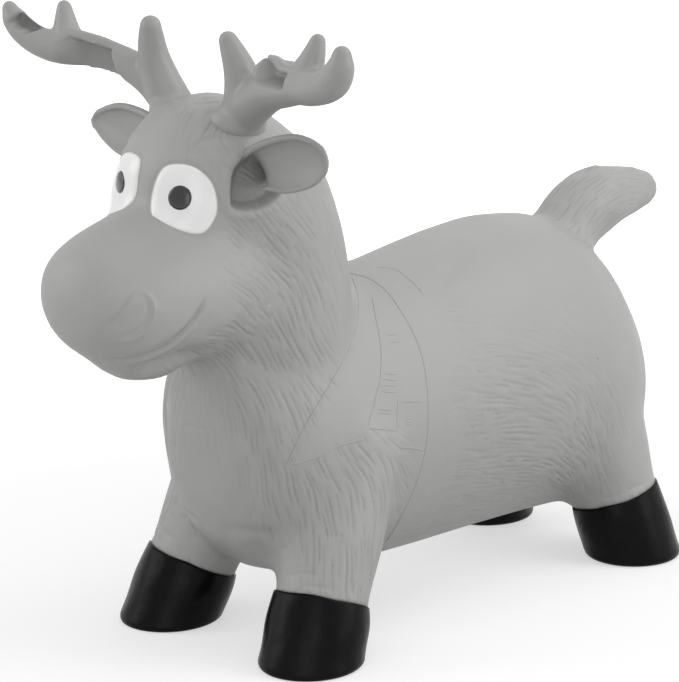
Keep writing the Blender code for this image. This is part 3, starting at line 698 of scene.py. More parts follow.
# The fur is cut into the mould as fine combed strokes. Each lock below says how strong the fur is
# and which pixels it runs through. Between the locks the strokes turn evenly from one to the next.
FUR_LOCKS = (
    # Side of the head and neck, from the ear down
    (0.7, (235, 216), (255, 234)),
    (0.7, (259, 214), (271, 232)),
    (0.6, (285, 192), (297, 207)),
    (0.5, (311, 190), (322, 212)),
    (0.5, (328, 212), (337, 238)),
    (0.7, (233, 249), (249, 263)),
    (0.8, (257, 242), (277, 263)),
    (0.8, (300, 247), (318, 270)),
    (0.6, (328, 255), (337, 279)),
    (0.6, (237, 278), (256, 291)),
    (0.9, (254, 284), (276, 312)),
    (0.9, (298, 290), (309, 316)),
    (0.8, (320, 294), (327, 322)),
    # Round the jaw and down the neck
    (0.8, (202, 335), (226, 338), (243, 355)),
    (1.0, (235, 327), (262, 341), (279, 366)),
    (1.0, (270, 327), (284, 352)),
    (0.9, (289, 318), (297, 342)),
    (0.8, (313, 314), (321, 340)),
    (1.0, (196, 347), (224, 355), (243, 378)),
    (0.8, (200, 352), (218, 358), (233, 372), (242, 391)),
    (0.9, (232, 371), (248, 395), (258, 424), (261, 452)),
    (1.0, (244, 371), (264, 399), (271, 432), (277, 465), (285, 499)),
    (0.9, (260, 354), (272, 379), (289, 415), (297, 433)),
    (0.8, (277, 371), (293, 395), (303, 415)),
    (0.9, (293, 354), (305, 367), (314, 385)),
    (0.8, (310, 362), (324, 380)),
    (0.8, (320, 352), (332, 370)),
    # Chest
    (0.5, (181, 410), (181, 455)),
    (0.4, (171, 405), (171, 444)),
    (0.3, (200, 390), (197, 436)),
    (0.3, (214, 400), (222, 440)),
    (0.3, (222, 460), (228, 500)),
    # The fan over the leg
    (1.0, (293, 477), (300, 503), (303, 528)),
    (1.0, (305, 467), (317, 493), (323, 527)),
    (1.0, (319, 463), (334, 490), (340, 524)),
    (1.0, (334, 457), (350, 485), (356, 526)),
    (1.0, (346, 453), (366, 482), (373, 508)),
    (1.0, (362, 448), (381, 471), (387, 501)),
    (0.9, (372, 441), (395, 464), (408, 489)),
    (0.7, (385, 439), (412, 455)),
    (1.0, (374, 513), (371, 540)),
    (1.0, (388, 505), (383, 533)),
    (1.0, (303, 530), (307, 556)),
    (1.0, (317, 535), (316, 566)),
    (1.0, (331, 535), (330, 566)),
    (1.0, (349, 540), (348, 566)),
    (0.9, (362, 535), (361, 566)),
    (0.9, (282, 515), (290, 560)),
    # Flank
    (0.4, (447, 316), (476, 319)),
    (0.4, (467, 357), (523, 360)),
    (0.5, (450, 385), (490, 386)),
    (0.6, (503, 378), (538, 384)),
    (0.6, (541, 375), (576, 389), (588, 413)),
    (0.4, (558, 357), (580, 367)),
    (0.6, (479, 399), (523, 404)),
    (0.7, (529, 398), (564, 410), (585, 437)),
    (0.6, (473, 422), (523, 419)),
    (0.7, (517, 436), (564, 442), (588, 463)),
    (0.7, (465, 451), (517, 448)),
    (0.6, (453, 466), (497, 466)),
    (0.8, (497, 468), (547, 466), (576, 480)),
    (0.6, (440, 487), (500, 491)),
    (0.5, (432, 515), (450, 505)),
    (0.4, (602, 389), (614, 419)),
    (0.6, (594, 419), (605, 457)),
    (0.4, (617, 416), (623, 446)),
    (0.5, (600, 467), (606, 484)),
    (0.3, (560, 300), (590, 330), (610, 360)),
    (0.3, (530, 330), (565, 340)),
    # Tail
    (0.9, (566, 206), (577, 190), (594, 178)),
    (0.9, (579, 216), (589, 202), (606, 190)),
    (0.9, (589, 234), (600, 216), (618, 204)),
    (0.6, (612, 176), (640, 177)),
    (0.6, (620, 196), (643, 192)),
    # Forehead tuft and crest, the temple and the bowl of the ear
    (0.9, (207, 110), (196, 128)),
    (0.9, (214, 124), (203, 138)),
    (0.8, (190, 112), (181, 128)),
    (0.7, (192, 100), (214, 97)),
    (0.3, (216, 145), (226, 158)),
    (0.8, (236, 170), (252, 180)),
    (0.8, (238, 188), (262, 200)),
)
# Where the skin is smooth: muzzle, cheeks, round the eyes, collar, saddle, back and the far foot
BARE_PIXELS = (
    (60, 280), (90, 250), (80, 310), (120, 230), (110, 290), (150, 250), (160, 290), (150, 330),
    (190, 260), (215, 240), (212, 290), (222, 315), (190, 310), (190, 200), (150, 140), (165, 120),
    (148, 165), (135, 205), (224, 180), (222, 205), (120, 350), (150, 365), (100, 330), (255, 148),
    (285, 125), (305, 128), (325, 165), (345, 345), (352, 370), (418, 497), (428, 480), (433, 460),
    (390, 345), (390, 375), (388, 400), (412, 410), (345, 400), (335, 430), (355, 430), (320, 440),
    (305, 450), (362, 345), (366, 400), (356, 300), (395, 300), (400, 330), (412, 360), (412, 390),
    (412, 425), (410, 260), (440, 245), (470, 235), (500, 235), (530, 240), (560, 260), (430, 330),
    (440, 345), (500, 270), (480, 290), (590, 290), (600, 320), (436, 420), (440, 450), (200, 480),
    (190, 510), (210, 530), (180, 520), (230, 545), (190, 465), (622, 350), (632, 400), (636, 450),
    (640, 470),
)
# On sides that the photograph doesn't show: a place near the skin, the way the fur lies and its depth
HIDDEN_LOCKS = (
    ((0.030, -0.085, 0.400), (0.1, 0.5, -1.0), 0.6),
    ((0.000, -0.090, 0.380), (0.0, 0.4, -1.0), 0.6),
    ((0.025, -0.075, 0.340), (0.0, 0.2, -1.0), 0.6),
    ((0.000, -0.070, 0.320), (0.0, 0.3, -1.0), 0.5),
    ((0.000, -0.150, 0.434), (0.0, 1.0, 0.2), 0.7),
    ((0.000, -0.120, 0.415), (0.0, 1.0, -0.8), 0.6),
    ((0.000, -0.235, 0.170), (0.0, 0.1, -1.0), 0.3),
    ((0.000, -0.225, 0.120), (0.0, 0.2, -1.0), 0.2),
    ((0.030, 0.278, 0.200), (0.1, 0.1, -1.0), 0.5),
    ((0.000, 0.285, 0.160), (0.0, -0.1, -1.0), 0.5),
    ((0.060, 0.260, 0.140), (0.1, 0.0, -1.0), 0.6),
    ((0.000, 0.270, 0.110), (0.0, -0.5, -1.0), 0.5),
    ((0.000, 0.000, 0.040), (0.0, 1.0, 0.0), 0.4),
    ((0.050, 0.060, 0.045), (0.0, 1.0, 0.0), 0.5),
    ((0.050, -0.060, 0.050), (0.2, 1.0, 0.0), 0.4),
    ((0.000, 0.150, 0.040), (0.0, 1.0, 0.0), 0.4),
    ((0.000, 0.180, 0.300), (0.0, 1.0, 0.0), 0.0),
    ((0.000, 0.080, 0.300), (0.0, 1.0, 0.0), 0.0),
    ((0.000, 0.000, 0.290), (0.0, 1.0, 0.0), 0.0),
    ((0.000, 0.260, 0.298), (0.0, 0.8, 0.5), 0.7),
    ((0.000, 0.300, 0.250), (0.0, 1.0, 0.5), 0.6),
)
FUR_GAP = 0.0029
FUR_CELL = 0.0036
FUR_WIDTH = 0.00082
FUR_DEPTH = 0.00100
FUR_STEP = 0.0014
FUR_LENGTHS = (0.026, 0.070)
FUR_LEAST = 0.15
FUR_BLEND = 0.007
FUR_SWAY = 0.22
FUR_SWAY_SCALE = 55
FUR_ROOM = 0.7
FUR_FINE = 0.80
FUR_GAP_CHANGE = 0.35
FUR_WIDTH_CHANGE = 0.30
FUR_SHALLOW = 0.55
FUR_FULL = 1.15
FUR_FADE = 0.25
FUR_FEWEST_PLACES = 5
FUR_TRIES = 26000
FUR_SEED = 5

guides = []


def guide(place, way, depth):
    """Adds a guide for the fur and its mirror image."""
    for _, side in SIDES:
        guides.append((side * place.x, place.y, place.z, side * way.x, way.y, way.z, depth))


for depth, *pixels in FUR_LOCKS:
    line = [on_skin(pixel) for pixel in pixels]
    for start, end in zip(line, line[1:]):
        guide((start + end) / 2, (end - start).normalized(), depth)
for pixel in BARE_PIXELS:
    guide(on_skin(pixel), Vector((0, 0, 0)), 0)
for place, way, depth in HIDDEN_LOCKS:
    guide(SKIN.find_nearest(Vector(place))[0], Vector(way).normalized(), depth)
guides = np.array(guides)


def combed(place):
    """The way the fur lies at a place, and how strong it is."""
    apart = guides[:, :3] - place
    near = 1 / ((apart**2).sum(1) + FUR_BLEND**2) ** 2
    way = Vector(near @ guides[:, 3:6])
    return way.normalized(), near @ guides[:, 6] / near.sum()


strokes_in_cell = {}


def cell_of(place):
    """The small cube of space that a place lies in."""
    return tuple(int(value // FUR_CELL) for value in place)


def crowded(place, gap):
    """Whether another stroke runs this near."""
    x, y, z = cell_of(place)
    for i in (x - 1, x, x + 1):
        for j in (y - 1, y, y + 1):
            for k in (z - 1, z, z + 1):
                for other in strokes_in_cell.get((i, j, k), ()):
                    if (other - place).length < gap:
                        return True
    return False


def stroke_from(seed, length, gap):
    """A stroke of combed fur through a place, as far as there is room for it."""
    line = [seed]
    for end in (1, -1):
        place = seed
        for _ in range(int(length / 2 / FUR_STEP)):
            way, strength = combed(place)
            _, normal, _, _ = SKIN.find_nearest(place)
            sway = FUR_SWAY * noise.noise(place * FUR_SWAY_SCALE)
            way = (way + normal.cross(way) * sway) * FUR_STEP * end
            place = SKIN.find_nearest(place + way)[0]
            if strength < FUR_LEAST or crowded(place, FUR_ROOM * gap):
                break
            line.insert(0 if end < 0 else len(line), place)
    return line


chance = np.random.default_rng(FUR_SEED)
fur = np.zeros(count)
for index in chance.integers(0, count, FUR_TRIES):
    seed = SKIN.find_nearest(Vector(places[index]))[0]
    length = chance.uniform(*FUR_LENGTHS)
    depth = chance.uniform(FUR_SHALLOW, 1)
    strength = combed(seed)[1]
    gap = FUR_GAP * (FUR_FINE + FUR_GAP_CHANGE * strength)
    if strength < FUR_LEAST or crowded(seed, gap):
        continue
    line = stroke_from(seed, length, gap)
    if len(line) < FUR_FEWEST_PLACES:
        continue
    for place in line:
        strokes_in_cell.setdefault(cell_of(place), []).append(place)
    width = FUR_WIDTH * (FUR_FINE + FUR_WIDTH_CHANGE * strength)
    mark(fur, smooth_line(line, width), width, FUR_FADE, depth * min(1, strength * FUR_FULL))
rise -= FUR_DEPTH * fur

places += normals * rise[:, None]

# Below the hoof's rim the leg steps in by the cap's wall
HOOF_STEP = 0.0023
HOOF_STEP_LENGTH = 0.0020
for leg in LEGS.values():
    rim_middle, axis = leg_axis(leg)
    apart = places - np.array(rim_middle)
    up = apart @ np.array(axis)
    out = apart - up[:, None] * np.array(axis)
    far = np.linalg.norm(out, axis=1)
    capped_part = (far < LEG_REGION) & (up < 0) & (up > -2 * LEG_TUCK)
    step = HOOF_STEP * np.clip(-up / HOOF_STEP_LENGTH, 0, 1)
    places[capped_part] -= out[capped_part] / far[capped_part, None] * step[capped_part, None]

skin_mesh.vertices.foreach_set("co", places.ravel())
# Painted shade: this attribute darkens the skin's colour in the fur's grooves and in the bowl before each
# ear
painted_groove_shade = skin_mesh.attributes.new("painted_groove_shade", "FLOAT", "POINT")
painted_groove_shade.data.foreach_set("value", np.maximum(fur, BOWL_SHADE * bowl_shade).astype(np.float32))
skin_mesh.update()

SKIN_TRIANGLES = 192000


def thinned(mesh, triangles):
    """The mesh with about this many triangles, fewest where it is smooth."""
    total = sum(len(face.vertices) - 2 for face in mesh.polygons)
    holder = placed(mesh.name, mesh)
    fewer = holder.modifiers.new("fewer", "DECIMATE")
    fewer.ratio = min(1, triangles / total)
    fewer.use_collapse_triangulate = True
    made = evaluated(holder)
    bpy.data.objects.remove(holder)
    return made


def piece(mesh, name, material, slot, body, *nodes):
    """A finished piece: smooth shaded, in its material, riding on a body in place of CAD nodes."""
    mesh.name = name
    mesh.materials.clear()
    mesh.materials.append(material)
    mesh.polygons.foreach_set("use_smooth", [True] * len(mesh.polygons))
    mesh.update()
    made = placed(name, mesh)
    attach(made, body)
    if nodes:
        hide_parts(*nodes)
    return made


def grouped(name, kind, inputs, outputs):
    """A node group without nodes but its input and output, from names, socket types and values."""
    tree = bpy.data.node_groups.new(name, kind)
    for label, socket_type, value in inputs:
        socket = tree.interface.new_socket(label, in_out="INPUT", socket_type=socket_type)
        if value is not None:
            socket.default_value = value
    for label, socket_type in outputs:
        tree.interface.new_socket(label, in_out="OUTPUT", socket_type=socket_type)
    return tree, node(tree, "NodeGroupInput").outputs, node(tree, "NodeGroupOutput")


# Moulded PVC: its colour clouds a little, as the paint was mixed and sprayed; a fine grain breaks
# its shine, and its surface is slightly uneven, as the inside of the mould was.
COAT_ROUGHNESS = 0.12
SPECKLE_HEIGHT = 0.12
pvc, given, put_out = grouped(
    "moulded_pvc",
    "ShaderNodeTree",
    (
        ("Place", "NodeSocketVector", None),
        ("Colour", "NodeSocketColor", (0.4, 0.4, 0.4, 1)),
        ("Clouding", "NodeSocketFloat", 0.05),
        ("Speckle", "NodeSocketFloat", 0.03),
        ("Roughness", "NodeSocketFloat", 0.5),
        ("Roughness Change", "NodeSocketFloat", 0.08),
        ("Unevenness Scale", "NodeSocketFloat", 120.0),
    ),
    (("Colour", "NodeSocketColor"), ("Roughness", "NodeSocketFloat"), ("Height", "NodeSocketFloat")),
)
clouds = node(pvc, "ShaderNodeTexNoise", {
    "Vector": given["Place"],
    "Scale": 11.0,
    "Detail": 3.0,
    "Roughness": 0.5,
})
speckles = node(pvc, "ShaderNodeTexNoise", {
    "Vector": given["Place"],
    "Scale": 1500.0,
    "Detail": 2.0,
    "Roughness": 0.6,
})
dents = node(pvc, "ShaderNodeTexNoise", {
    "Vector": given["Place"],
    "Scale": given["Unevenness Scale"],
    "Detail": 2.0,
    "Roughness": 0.45,
})
cloud = worked(pvc, "SUBTRACT", clouds.outputs["Fac"], 0.5)
speckle = worked(pvc, "SUBTRACT", speckles.outputs["Fac"], 0.5)
shade = worked(pvc, "MULTIPLY_ADD", cloud, given["Clouding"], 1.0)
shade = worked(pvc, "MULTIPLY_ADD", speckle, given["Speckle"], shade)
tinted = node(pvc, "ShaderNodeVectorMath", {0: given["Colour"], "Scale": shade}, operation="SCALE")
rough = worked(pvc, "MULTIPLY_ADD", cloud, given["Roughness Change"], given["Roughness"])
rough = worked(pvc, "MULTIPLY_ADD", speckle, given["Roughness Change"], rough)
height = worked(pvc, "MULTIPLY_ADD", speckle, SPECKLE_HEIGHT, dents.outputs["Fac"])
fill(pvc, put_out, {"Colour": tinted.outputs[0], "Roughness": rough, "Height": height})


def finish(
    name, colour, scale, bump, roughness, clouding=0.10, speckle=0.05, change=0.10, specular=0.5, coat=0.0
):
    """A material of moulded PVC. Bump is the height of its unevenness in metres."""
    made = bpy.data.materials.new(name)
    made.use_nodes = True
    tree = made.node_tree
    place = node(tree, "ShaderNodeTexCoord")
    surface = node(tree, "ShaderNodeGroup", node_tree=pvc, name="surface")
    fill(tree, surface, {
        "Place": place.outputs["Object"],
        "Colour": (*colour, 1),
        "Clouding": clouding,
        "Speckle": speckle,
        "Roughness": roughness,
        "Roughness Change": change,
        "Unevenness Scale": scale,
    })
    uneven = node(tree, "ShaderNodeBump", {
        "Strength": 1.0,
        "Distance": bump,
        "Height": surface.outputs["Height"],
    })
    fill(tree, tree.nodes["Principled BSDF"], {
        "Base Color": surface.outputs["Colour"],
        "Roughness": surface.outputs["Roughness"],
        "Normal": uneven.outputs["Normal"],
        "Specular IOR Level": specular,
        "Coat Weight": coat,
        "Coat Roughness": COAT_ROUGHNESS,
    })
    return made


def painted_shade_in(material, attribute, share):
    """Paints shade into a material: its colour is darker where an attribute of its mesh is high, as in the
    bottom of a groove.
    """
    tree = material.node_tree
    paint = tree.nodes["Principled BSDF"]
    shade_mask = node(tree, "ShaderNodeAttribute", attribute_name=attribute)
    keep = worked(tree, "MULTIPLY_ADD", shade_mask.outputs["Fac"], -share, 1.0)
    colour = paint.inputs["Base Color"].links[0].from_socket
    shade_painted_colour = node(tree, "ShaderNodeVectorMath", {0: colour, "Scale": keep}, operation="SCALE")
    fill(tree, paint, {"Base Color": shade_painted_colour.outputs[0]})


# The skin's finish: satin grey, with painted shade that darkens the grooves of the fur and the bowl before
# each ear
GROOVE_SHADE = 0.19
skin_finish = finish("grey_vinyl_skin", (0.40, 0.398, 0.39), scale=90, bump=0.00030, roughness=0.50)
painted_shade_in(skin_finish, "painted_groove_shade", GROOVE_SHADE)
piece(thinned(skin_mesh, SKIN_TRIANGLES), "reindeer_skin", skin_finish, "grey_vinyl", "hopper", "body_skin")

# The harness is moulded on the skin as fine raised lines: a collar, a girth with its buckle, and
# the saddle's edge. Here they are thin beads of the same vinyl, half sunk in the skin.
BEAD_RADIUS = 0.00075
BEAD_SUNK = 0.00025
BEAD_SIDES = 10
BEAD_STEP = 0.0015
BEAD_TIP = 0.4
BEAD_TIP_GROWTH = 0.2
BEAD_WELD = 0.00001
REAR_GIRTH = 3
REAR_GIRTH_RISE = 0.004
HARNESS_PIXELS = (
    # The collar, and the lower strap that runs from its point
    (
        (352, 277), (357, 290), (359, 307), (357, 325), (345, 358), (329.5, 386), (313, 413), (300, 437),
        (291, 457), (287, 464),
    ),
    ((290, 464), (296, 463.5), (317, 457), (334, 448), (349, 443), (366, 439)),
    # The girth, front and rear, and the fold behind the leg
    (
        (372, 296), (375.5, 315), (379.5, 336), (381.5, 354), (380.5, 379), (377.5, 391), (373, 409),
        (368, 427),
    ),
    (
        (353, 274), (366, 277), (384.5, 289), (400, 309.5), (413, 332), (421.5, 354), (426.5, 379),
        (428.5, 403), (427.5, 436), (424.5, 456), (420.5, 471), (413, 492), (405, 509.5), (395, 528),
        (385, 543),
    ),
    # The saddle's edge
    ((376, 267), (395, 269.5), (409, 279), (424, 295)),
    # The buckle: its frame, its bars and its stud
    ((367, 428), (381, 429), (397, 431)),
    ((398, 399), (398, 432)),
    ((400, 401.5), (425, 401.5)),
    ((400, 447), (424, 450)),
    ((377, 408.5), (393, 410.5)),
    ((376.5, 412.5), (393, 414)),
    ((405, 419), (413, 419)),
    ((405, 421.5), (413, 421.5)),
    ((405, 424), (413, 424)),
    ((382, 373), (398, 374)),
    ((381.5, 379), (398, 380)),
    ((381, 385), (398, 386)),
    ((380, 391), (398, 392.5)),
    ((386, 335), (400, 334)),
    ((387, 342), (401, 341)),
)


def beads_tree():
    """Geometry Nodes that put a round bead along the edges of a mesh, thin at its ends."""
    tree, given, put_out = grouped(
        "moulded_beads",
        "GeometryNodeTree",
        (
            ("Lines", "NodeSocketGeometry", None),
            ("Bead Radius", "NodeSocketFloat", None),
            ("Finish", "NodeSocketMaterial", None),
        ),
        (("Beads", "NodeSocketGeometry"),),
    )
    lines = node(tree, "GeometryNodeMeshToCurve", {"Mesh": given["Lines"]})
    taper = node(tree, "GeometryNodeInputNamedAttribute", {"Name": "taper"}, data_type="FLOAT")
    thick = node(tree, "GeometryNodeSetCurveRadius", {
        "Curve": lines.outputs["Curve"],
        "Radius": taper.outputs["Attribute"],
    })
    section = node(tree, "GeometryNodeCurvePrimitiveCircle", {
        "Resolution": BEAD_SIDES,
        "Radius": given["Bead Radius"],
    })
    swept = node(tree, "GeometryNodeCurveToMesh", {
        "Fill Caps": True,
        "Curve": thick.outputs["Curve"],
        "Profile Curve": section.outputs["Curve"],
    })
    if "Scale" in swept.inputs:
        fill(tree, swept, {"Scale": taper.outputs["Attribute"]})
    real = node(tree, "GeometryNodeRealizeInstances", {"Geometry": swept.outputs["Mesh"]})
    dressed = node(tree, "GeometryNodeSetMaterial", {
        "Geometry": real.outputs["Geometry"],
        "Material": given["Finish"],
    })
    fill(tree, put_out, {"Beads": dressed.outputs["Geometry"]})
    return tree


def beaded(lines, radius, sunk, material):
    """A mesh of thin beads that lie on the skin along these lines of places."""
    places, edges, tapers = [], [], []
    for line in lines:
        first = len(places)
        path = smooth_line(line, BEAD_STEP)
        for i, place in enumerate(path):
            on, normal, _, _ = SKIN.find_nearest(place)
            places.append(on - normal * sunk)
            from_end = min(i, len(path) - 1 - i)
            tapers.append(min(1, BEAD_TIP + BEAD_TIP_GROWTH * from_end))
        edges += [(i, i + 1) for i in range(first, len(places) - 1)]
    wires = bpy.data.meshes.new("bead_lines")
    wires.from_pydata(places, edges, [])
    taper = wires.attributes.new("taper", "FLOAT", "POINT")
    taper.data.foreach_set("value", tapers)
    holder = placed("bead_lines", wires)
    beads = holder.modifiers.new("beads", "NODES")
    beads.node_group = beads_tree()
    values = {"Bead Radius": radius, "Finish": material}
    for socket in beads.node_group.interface.items_tree:
        if socket.name in values:
            beads[socket.identifier] = values[socket.name]
    mesh = evaluated(holder)
    bpy.data.objects.remove(holder)
    shape = bmesh.new()
    shape.from_mesh(mesh)
    bmesh.ops.remove_doubles(shape, verts=shape.verts, dist=BEAD_WELD)
    bmesh.ops.recalc_face_normals(shape, faces=shape.faces)
    shape.to_mesh(mesh)
    shape.free()
    return mesh


harness = [[on_skin(pixel) for pixel in pixels] for pixels in HARNESS_PIXELS]
# The girth's rear line meets its mirror image on top of the back
girth = harness[REAR_GIRTH]
girth.insert(0, SKIN.find_nearest(Vector((0, girth[0].y, girth[0].z + REAR_GIRTH_RISE)))[0])
harness += [mirrored(line) for line in harness]
harness_finish = finish("grey_vinyl_beads", (0.41, 0.408, 0.40), scale=90, bump=0.00020, roughness=0.42)
beads = beaded(harness, BEAD_RADIUS, BEAD_SUNK, harness_finish)
piece(beads, "harness_lines", harness_finish, "grey_vinyl", "hopper")

# Antlers: PVC mouldings that the rider holds, each with an upright tine, a scooped palm and an
# outer fork. They are thick and springy, and sit on the skull with a rounded foot.
SEAT = Vector((0.04402, -0.19191, 0.41762))
ANTLER_REACH = 0.1355
ANTLER_SWEEP = 0.0425
ANTLER_RISE = 0.0755
BEAM_RADIUS = 0.0145
ANTLER_VOXEL = 0.0018
ANTLER_ROUNDS = 10
ANTLER_FINE_VOXEL = 0.0011
ANTLER_FINE_ROUNDS = 7

# Out, forward and up from the seat, and the thickness there, as shares. The two mouldings differ a
# little.
STEMS = {
    "left": (
        (-0.120, -0.10, -0.265, 1.12), (-0.040, 0.02, 0.000, 1.25), (0.010, 0.12, 0.150, 1.18),
        (0.028, 0.20, 0.330, 1.02), (0.028, 0.28, 0.500, 0.87), (0.008, 0.38, 0.680, 0.67),
        (-0.012, 0.44, 0.800, 0.51),
    ),
    "right": (
        (-0.090, -0.10, -0.265, 1.08), (-0.070, 0.02, 0.000, 1.12), (-0.038, 0.12, 0.170, 1.07),
        (-0.002, 0.20, 0.370, 0.94), (0.008, 0.28, 0.540, 0.82), (-0.004, 0.36, 0.710, 0.70),
        (-0.020, 0.42, 0.835, 0.58),
    ),
}
BEAMS = {
    "left": (
        (-0.040, 0.06, 0.030, 1.12), (0.115, 0.22, 0.210, 1.10), (0.280, 0.37, 0.365, 1.07),
        (0.460, 0.56, 0.430, 0.93), (0.600, 0.68, 0.480, 0.88), (0.745, 0.80, 0.505, 0.87),
        (0.915, 0.92, 0.615, 0.88), (0.985, 0.98, 0.760, 0.72), (1.000, 1.00, 0.870, 0.50),
    ),
    "right": (
        (-0.030, 0.06, 0.080, 0.95), (0.085, 0.20, 0.290, 0.88), (0.240, 0.35, 0.420, 0.80),
        (0.470, 0.57, 0.495, 0.82), (0.700, 0.78, 0.530, 0.80), (0.865, 0.90, 0.655, 0.76),
        (0.938, 0.96, 0.790, 0.68), (0.958, 1.00, 0.882, 0.43),
    ),
}
TINE_SHARES = (
    (0.546, 0.59, 0.464, 0.92), (0.622, 0.56, 0.640, 0.80), (0.655, 0.52, 0.790, 0.60),
    (0.672, 0.49, 0.910, 0.43),
)
# Webs of the palm and of the fork: a middle and a size
WEBS = {
    "left": (
        ((0.320, 0.40, 0.495), (0.042, 0.016, 0.032)),
        ((0.470, 0.54, 0.550), (0.048, 0.015, 0.024)),
        ((0.800, 0.75, 0.570), (0.042, 0.011, 0.020)),
    ),
    "right": (
        ((0.780, 0.74, 0.580), (0.040, 0.012, 0.020)),
    ),
}
# The upper edge of the palm, and the lip that curls over the hollow, are thinner
CRESTS = {
    "left": (),
    "right": (
        (0.100, 0.20, 0.400, 0.50), (0.194, 0.30, 0.480, 0.48), (0.347, 0.45, 0.560, 0.46),
        (0.520, 0.60, 0.610, 0.46), (0.600, 0.62, 0.620, 0.46),
    ),
}
LIPS = {
    "left": (
        (0.300, 0.42, 0.690, 0.18), (0.400, 0.56, 0.680, 0.27), (0.480, 0.68, 0.640, 0.29),
        (0.560, 0.74, 0.632, 0.22),
    ),
    "right": (
        (0.600, 0.72, 0.688, 0.20), (0.507, 0.64, 0.672, 0.27), (0.430, 0.57, 0.646, 0.28),
        (0.347, 0.49, 0.617, 0.27), (0.270, 0.41, 0.577, 0.24), (0.194, 0.33, 0.535, 0.20),
    ),
}
FEET = {
    "left": ((-0.068, 0.13, -0.010), (0.044, 0.042, 0.030)),
    "right": ((-0.105, 0.13, -0.010), (0.038, 0.040, 0.028)),
}
# The palm is scooped out from ahead, and its upper lip curls over the hollow. The outline is in out
# and up shares. The hollow deepens between two out shares, and between two up shares.
SCOOPS = {
    "left": (
        ((0.195, 0.50), (0.195, 0.62), (0.26, 0.680), (0.33, 0.685), (0.40, 0.655), (0.48, 0.635),
         (0.545, 0.635), (0.550, 0.470), (0.45, 0.450), (0.31, 0.465)),
        (0.19, 0.34),
        (0.43, 0.53),
    ),
    "right": (
        ((0.590, 0.62), (0.53, 0.650), (0.46, 0.635), (0.40, 0.605), (0.268, 0.565), (0.222, 0.380),
         (0.190, 0.220), (0.25, 0.12), (0.60, 0.20)),
        (0.60, 0.46),
        (0.12, 0.42),
    ),
}
# A second, small hollow inside the outer tine
TINE_HOLLOW = ((0.915, 0.735), (0.878, 0.870), (0.805, 0.760), (0.735, 0.695), (0.800, 0.650))
SCOOP_DEPTH = 0.0040
HOLLOW_DEPTH = 0.0045
MIDDLE_SHARE = 0.10
# Between these turns of the surface to the rear, a press on the front fades out
FRONT_TURNS = (-0.2, 0.4)
# Painted shade darkens the hollows where the surface faces ahead, from before to behind the antler's middle
SHADED_TURN = 0.3
SHADED_FROM = (-0.004, 0.004)
PALM_SHADE = 0.45
TINE_SHADE = 1.0
HOLLOW_SHADE = 0.45


def reach(side, share):
    """A place on an antler."""
    step = Vector((share[0] * ANTLER_REACH, -share[1] * ANTLER_SWEEP, share[2] * ANTLER_RISE))
    return on_side(side, SEAT + step)


def branch(shape, side, shares):
    """Adds a branch of an antler through places and thicknesses, given as shares."""
    tube(shape, [reach(side, share) for share in shares], [share[3] * BEAM_RADIUS for share in shares])


def spot_of(place):
    """How far out and up from its seat a place on an antler is, as shares."""
    return (abs(place.x) - SEAT.x) / ANTLER_REACH, (place.z - SEAT.z) / ANTLER_RISE


def middle_y(out):
    """Where an antler's middle stands, from front to back, at this share outwards."""
    return SEAT.y - ANTLER_SWEEP * (MIDDLE_SHARE + out)


def inside(spot, outline):
    """Whether a spot lies inside a closed outline."""
    found = False
    for (ax, ay), (bx, by) in zip(outline, (*outline[1:], outline[0])):
        if (ay > spot[1]) != (by > spot[1]) and spot[0] < ax + (bx - ax) * (spot[1] - ay) / (by - ay):
            found = not found
    return found


def eased(value, start, end):
    """A share that goes smoothly from 0 at the start to 1 at the end."""
    share = min(1, max(0, (value - start) / (end - start)))
    return share * share * (3 - 2 * share)


def scooped(mesh, outline, behind, across=None, upwards=None):
    """Presses the front of an antler back inside an outline, to a little behind its middle."""
    for point in mesh.vertices:
        out, up = spot_of(point.co)
        if point.normal.y > FRONT_TURNS[1] or not inside((out, up), outline):
            continue
        share = (eased(out, *across) if across else 1) * (eased(up, *upwards) if upwards else 1)
        share *= 1 - eased(point.normal.y, *FRONT_TURNS)
        deepest = middle_y(out) + behind
        if deepest > point.co.y:
            point.co.y += (deepest - point.co.y) * share


def mark_painted_hollow_shade(mesh, outlines):
    """Marks the points in the hollows of an antler for painted shade, most where they are deep."""
    values = []
    for point in mesh.vertices:
        spot = spot_of(point.co)
        behind = point.co.y - middle_y(spot[0])
        value = 0
        for outline, strength in outlines:
            if point.normal.y < SHADED_TURN and inside(spot, outline):
                value = max(value, strength * eased(behind, *SHADED_FROM))
        values.append(value)
    shade_mask = mesh.attributes.new("hollow", "FLOAT", "POINT")
    shade_mask.data.foreach_set("value", values)


antler_finish = finish(
    "antler_grey_vinyl", (0.350, 0.348, 0.341), scale=130, bump=0.00025, roughness=0.44, clouding=0.14,
    speckle=0.04,
)
# Painted shade: the antler's colour is darker in its hollows, where shade falls
painted_shade_in(antler_finish, "hollow", HOLLOW_SHADE)
for word, side in SIDES:
    shape = bmesh.new()
    for shares in (STEMS[word], BEAMS[word], TINE_SHARES):
        branch(shape, side, shares)
        tip = 2 * BEAM_RADIUS * shares[-1][3]
        ball(shape, reach(side, shares[-1]), (tip, tip, tip))
    for share, size in (*WEBS[word], FEET[word]):
        ball(shape, reach(side, share), size)
    if CRESTS[word]:
        branch(shape, side, CRESTS[word])
    antler = melted(shape, "antler", ANTLER_VOXEL, ANTLER_ROUNDS)
    outline, across, upwards = SCOOPS[word]
    scooped(antler, outline, SCOOP_DEPTH, across, upwards)
    shaded_hollows = [(outline, PALM_SHADE)]
    if word == "right":
        scooped(antler, TINE_HOLLOW, HOLLOW_DEPTH)
        shaded_hollows.append((TINE_HOLLOW, TINE_SHADE))
    shape = bmesh.new()
    shape.from_mesh(antler)
    branch(shape, side, LIPS[word])
    antler = melted(shape, "antler", ANTLER_FINE_VOXEL, ANTLER_FINE_ROUNDS)
    mark_painted_hollow_shade(antler, shaded_hollows)
    piece(antler, f"antler_{word}_moulding", antler_finish, "antler_vinyl", "hopper", f"antler_{word}")

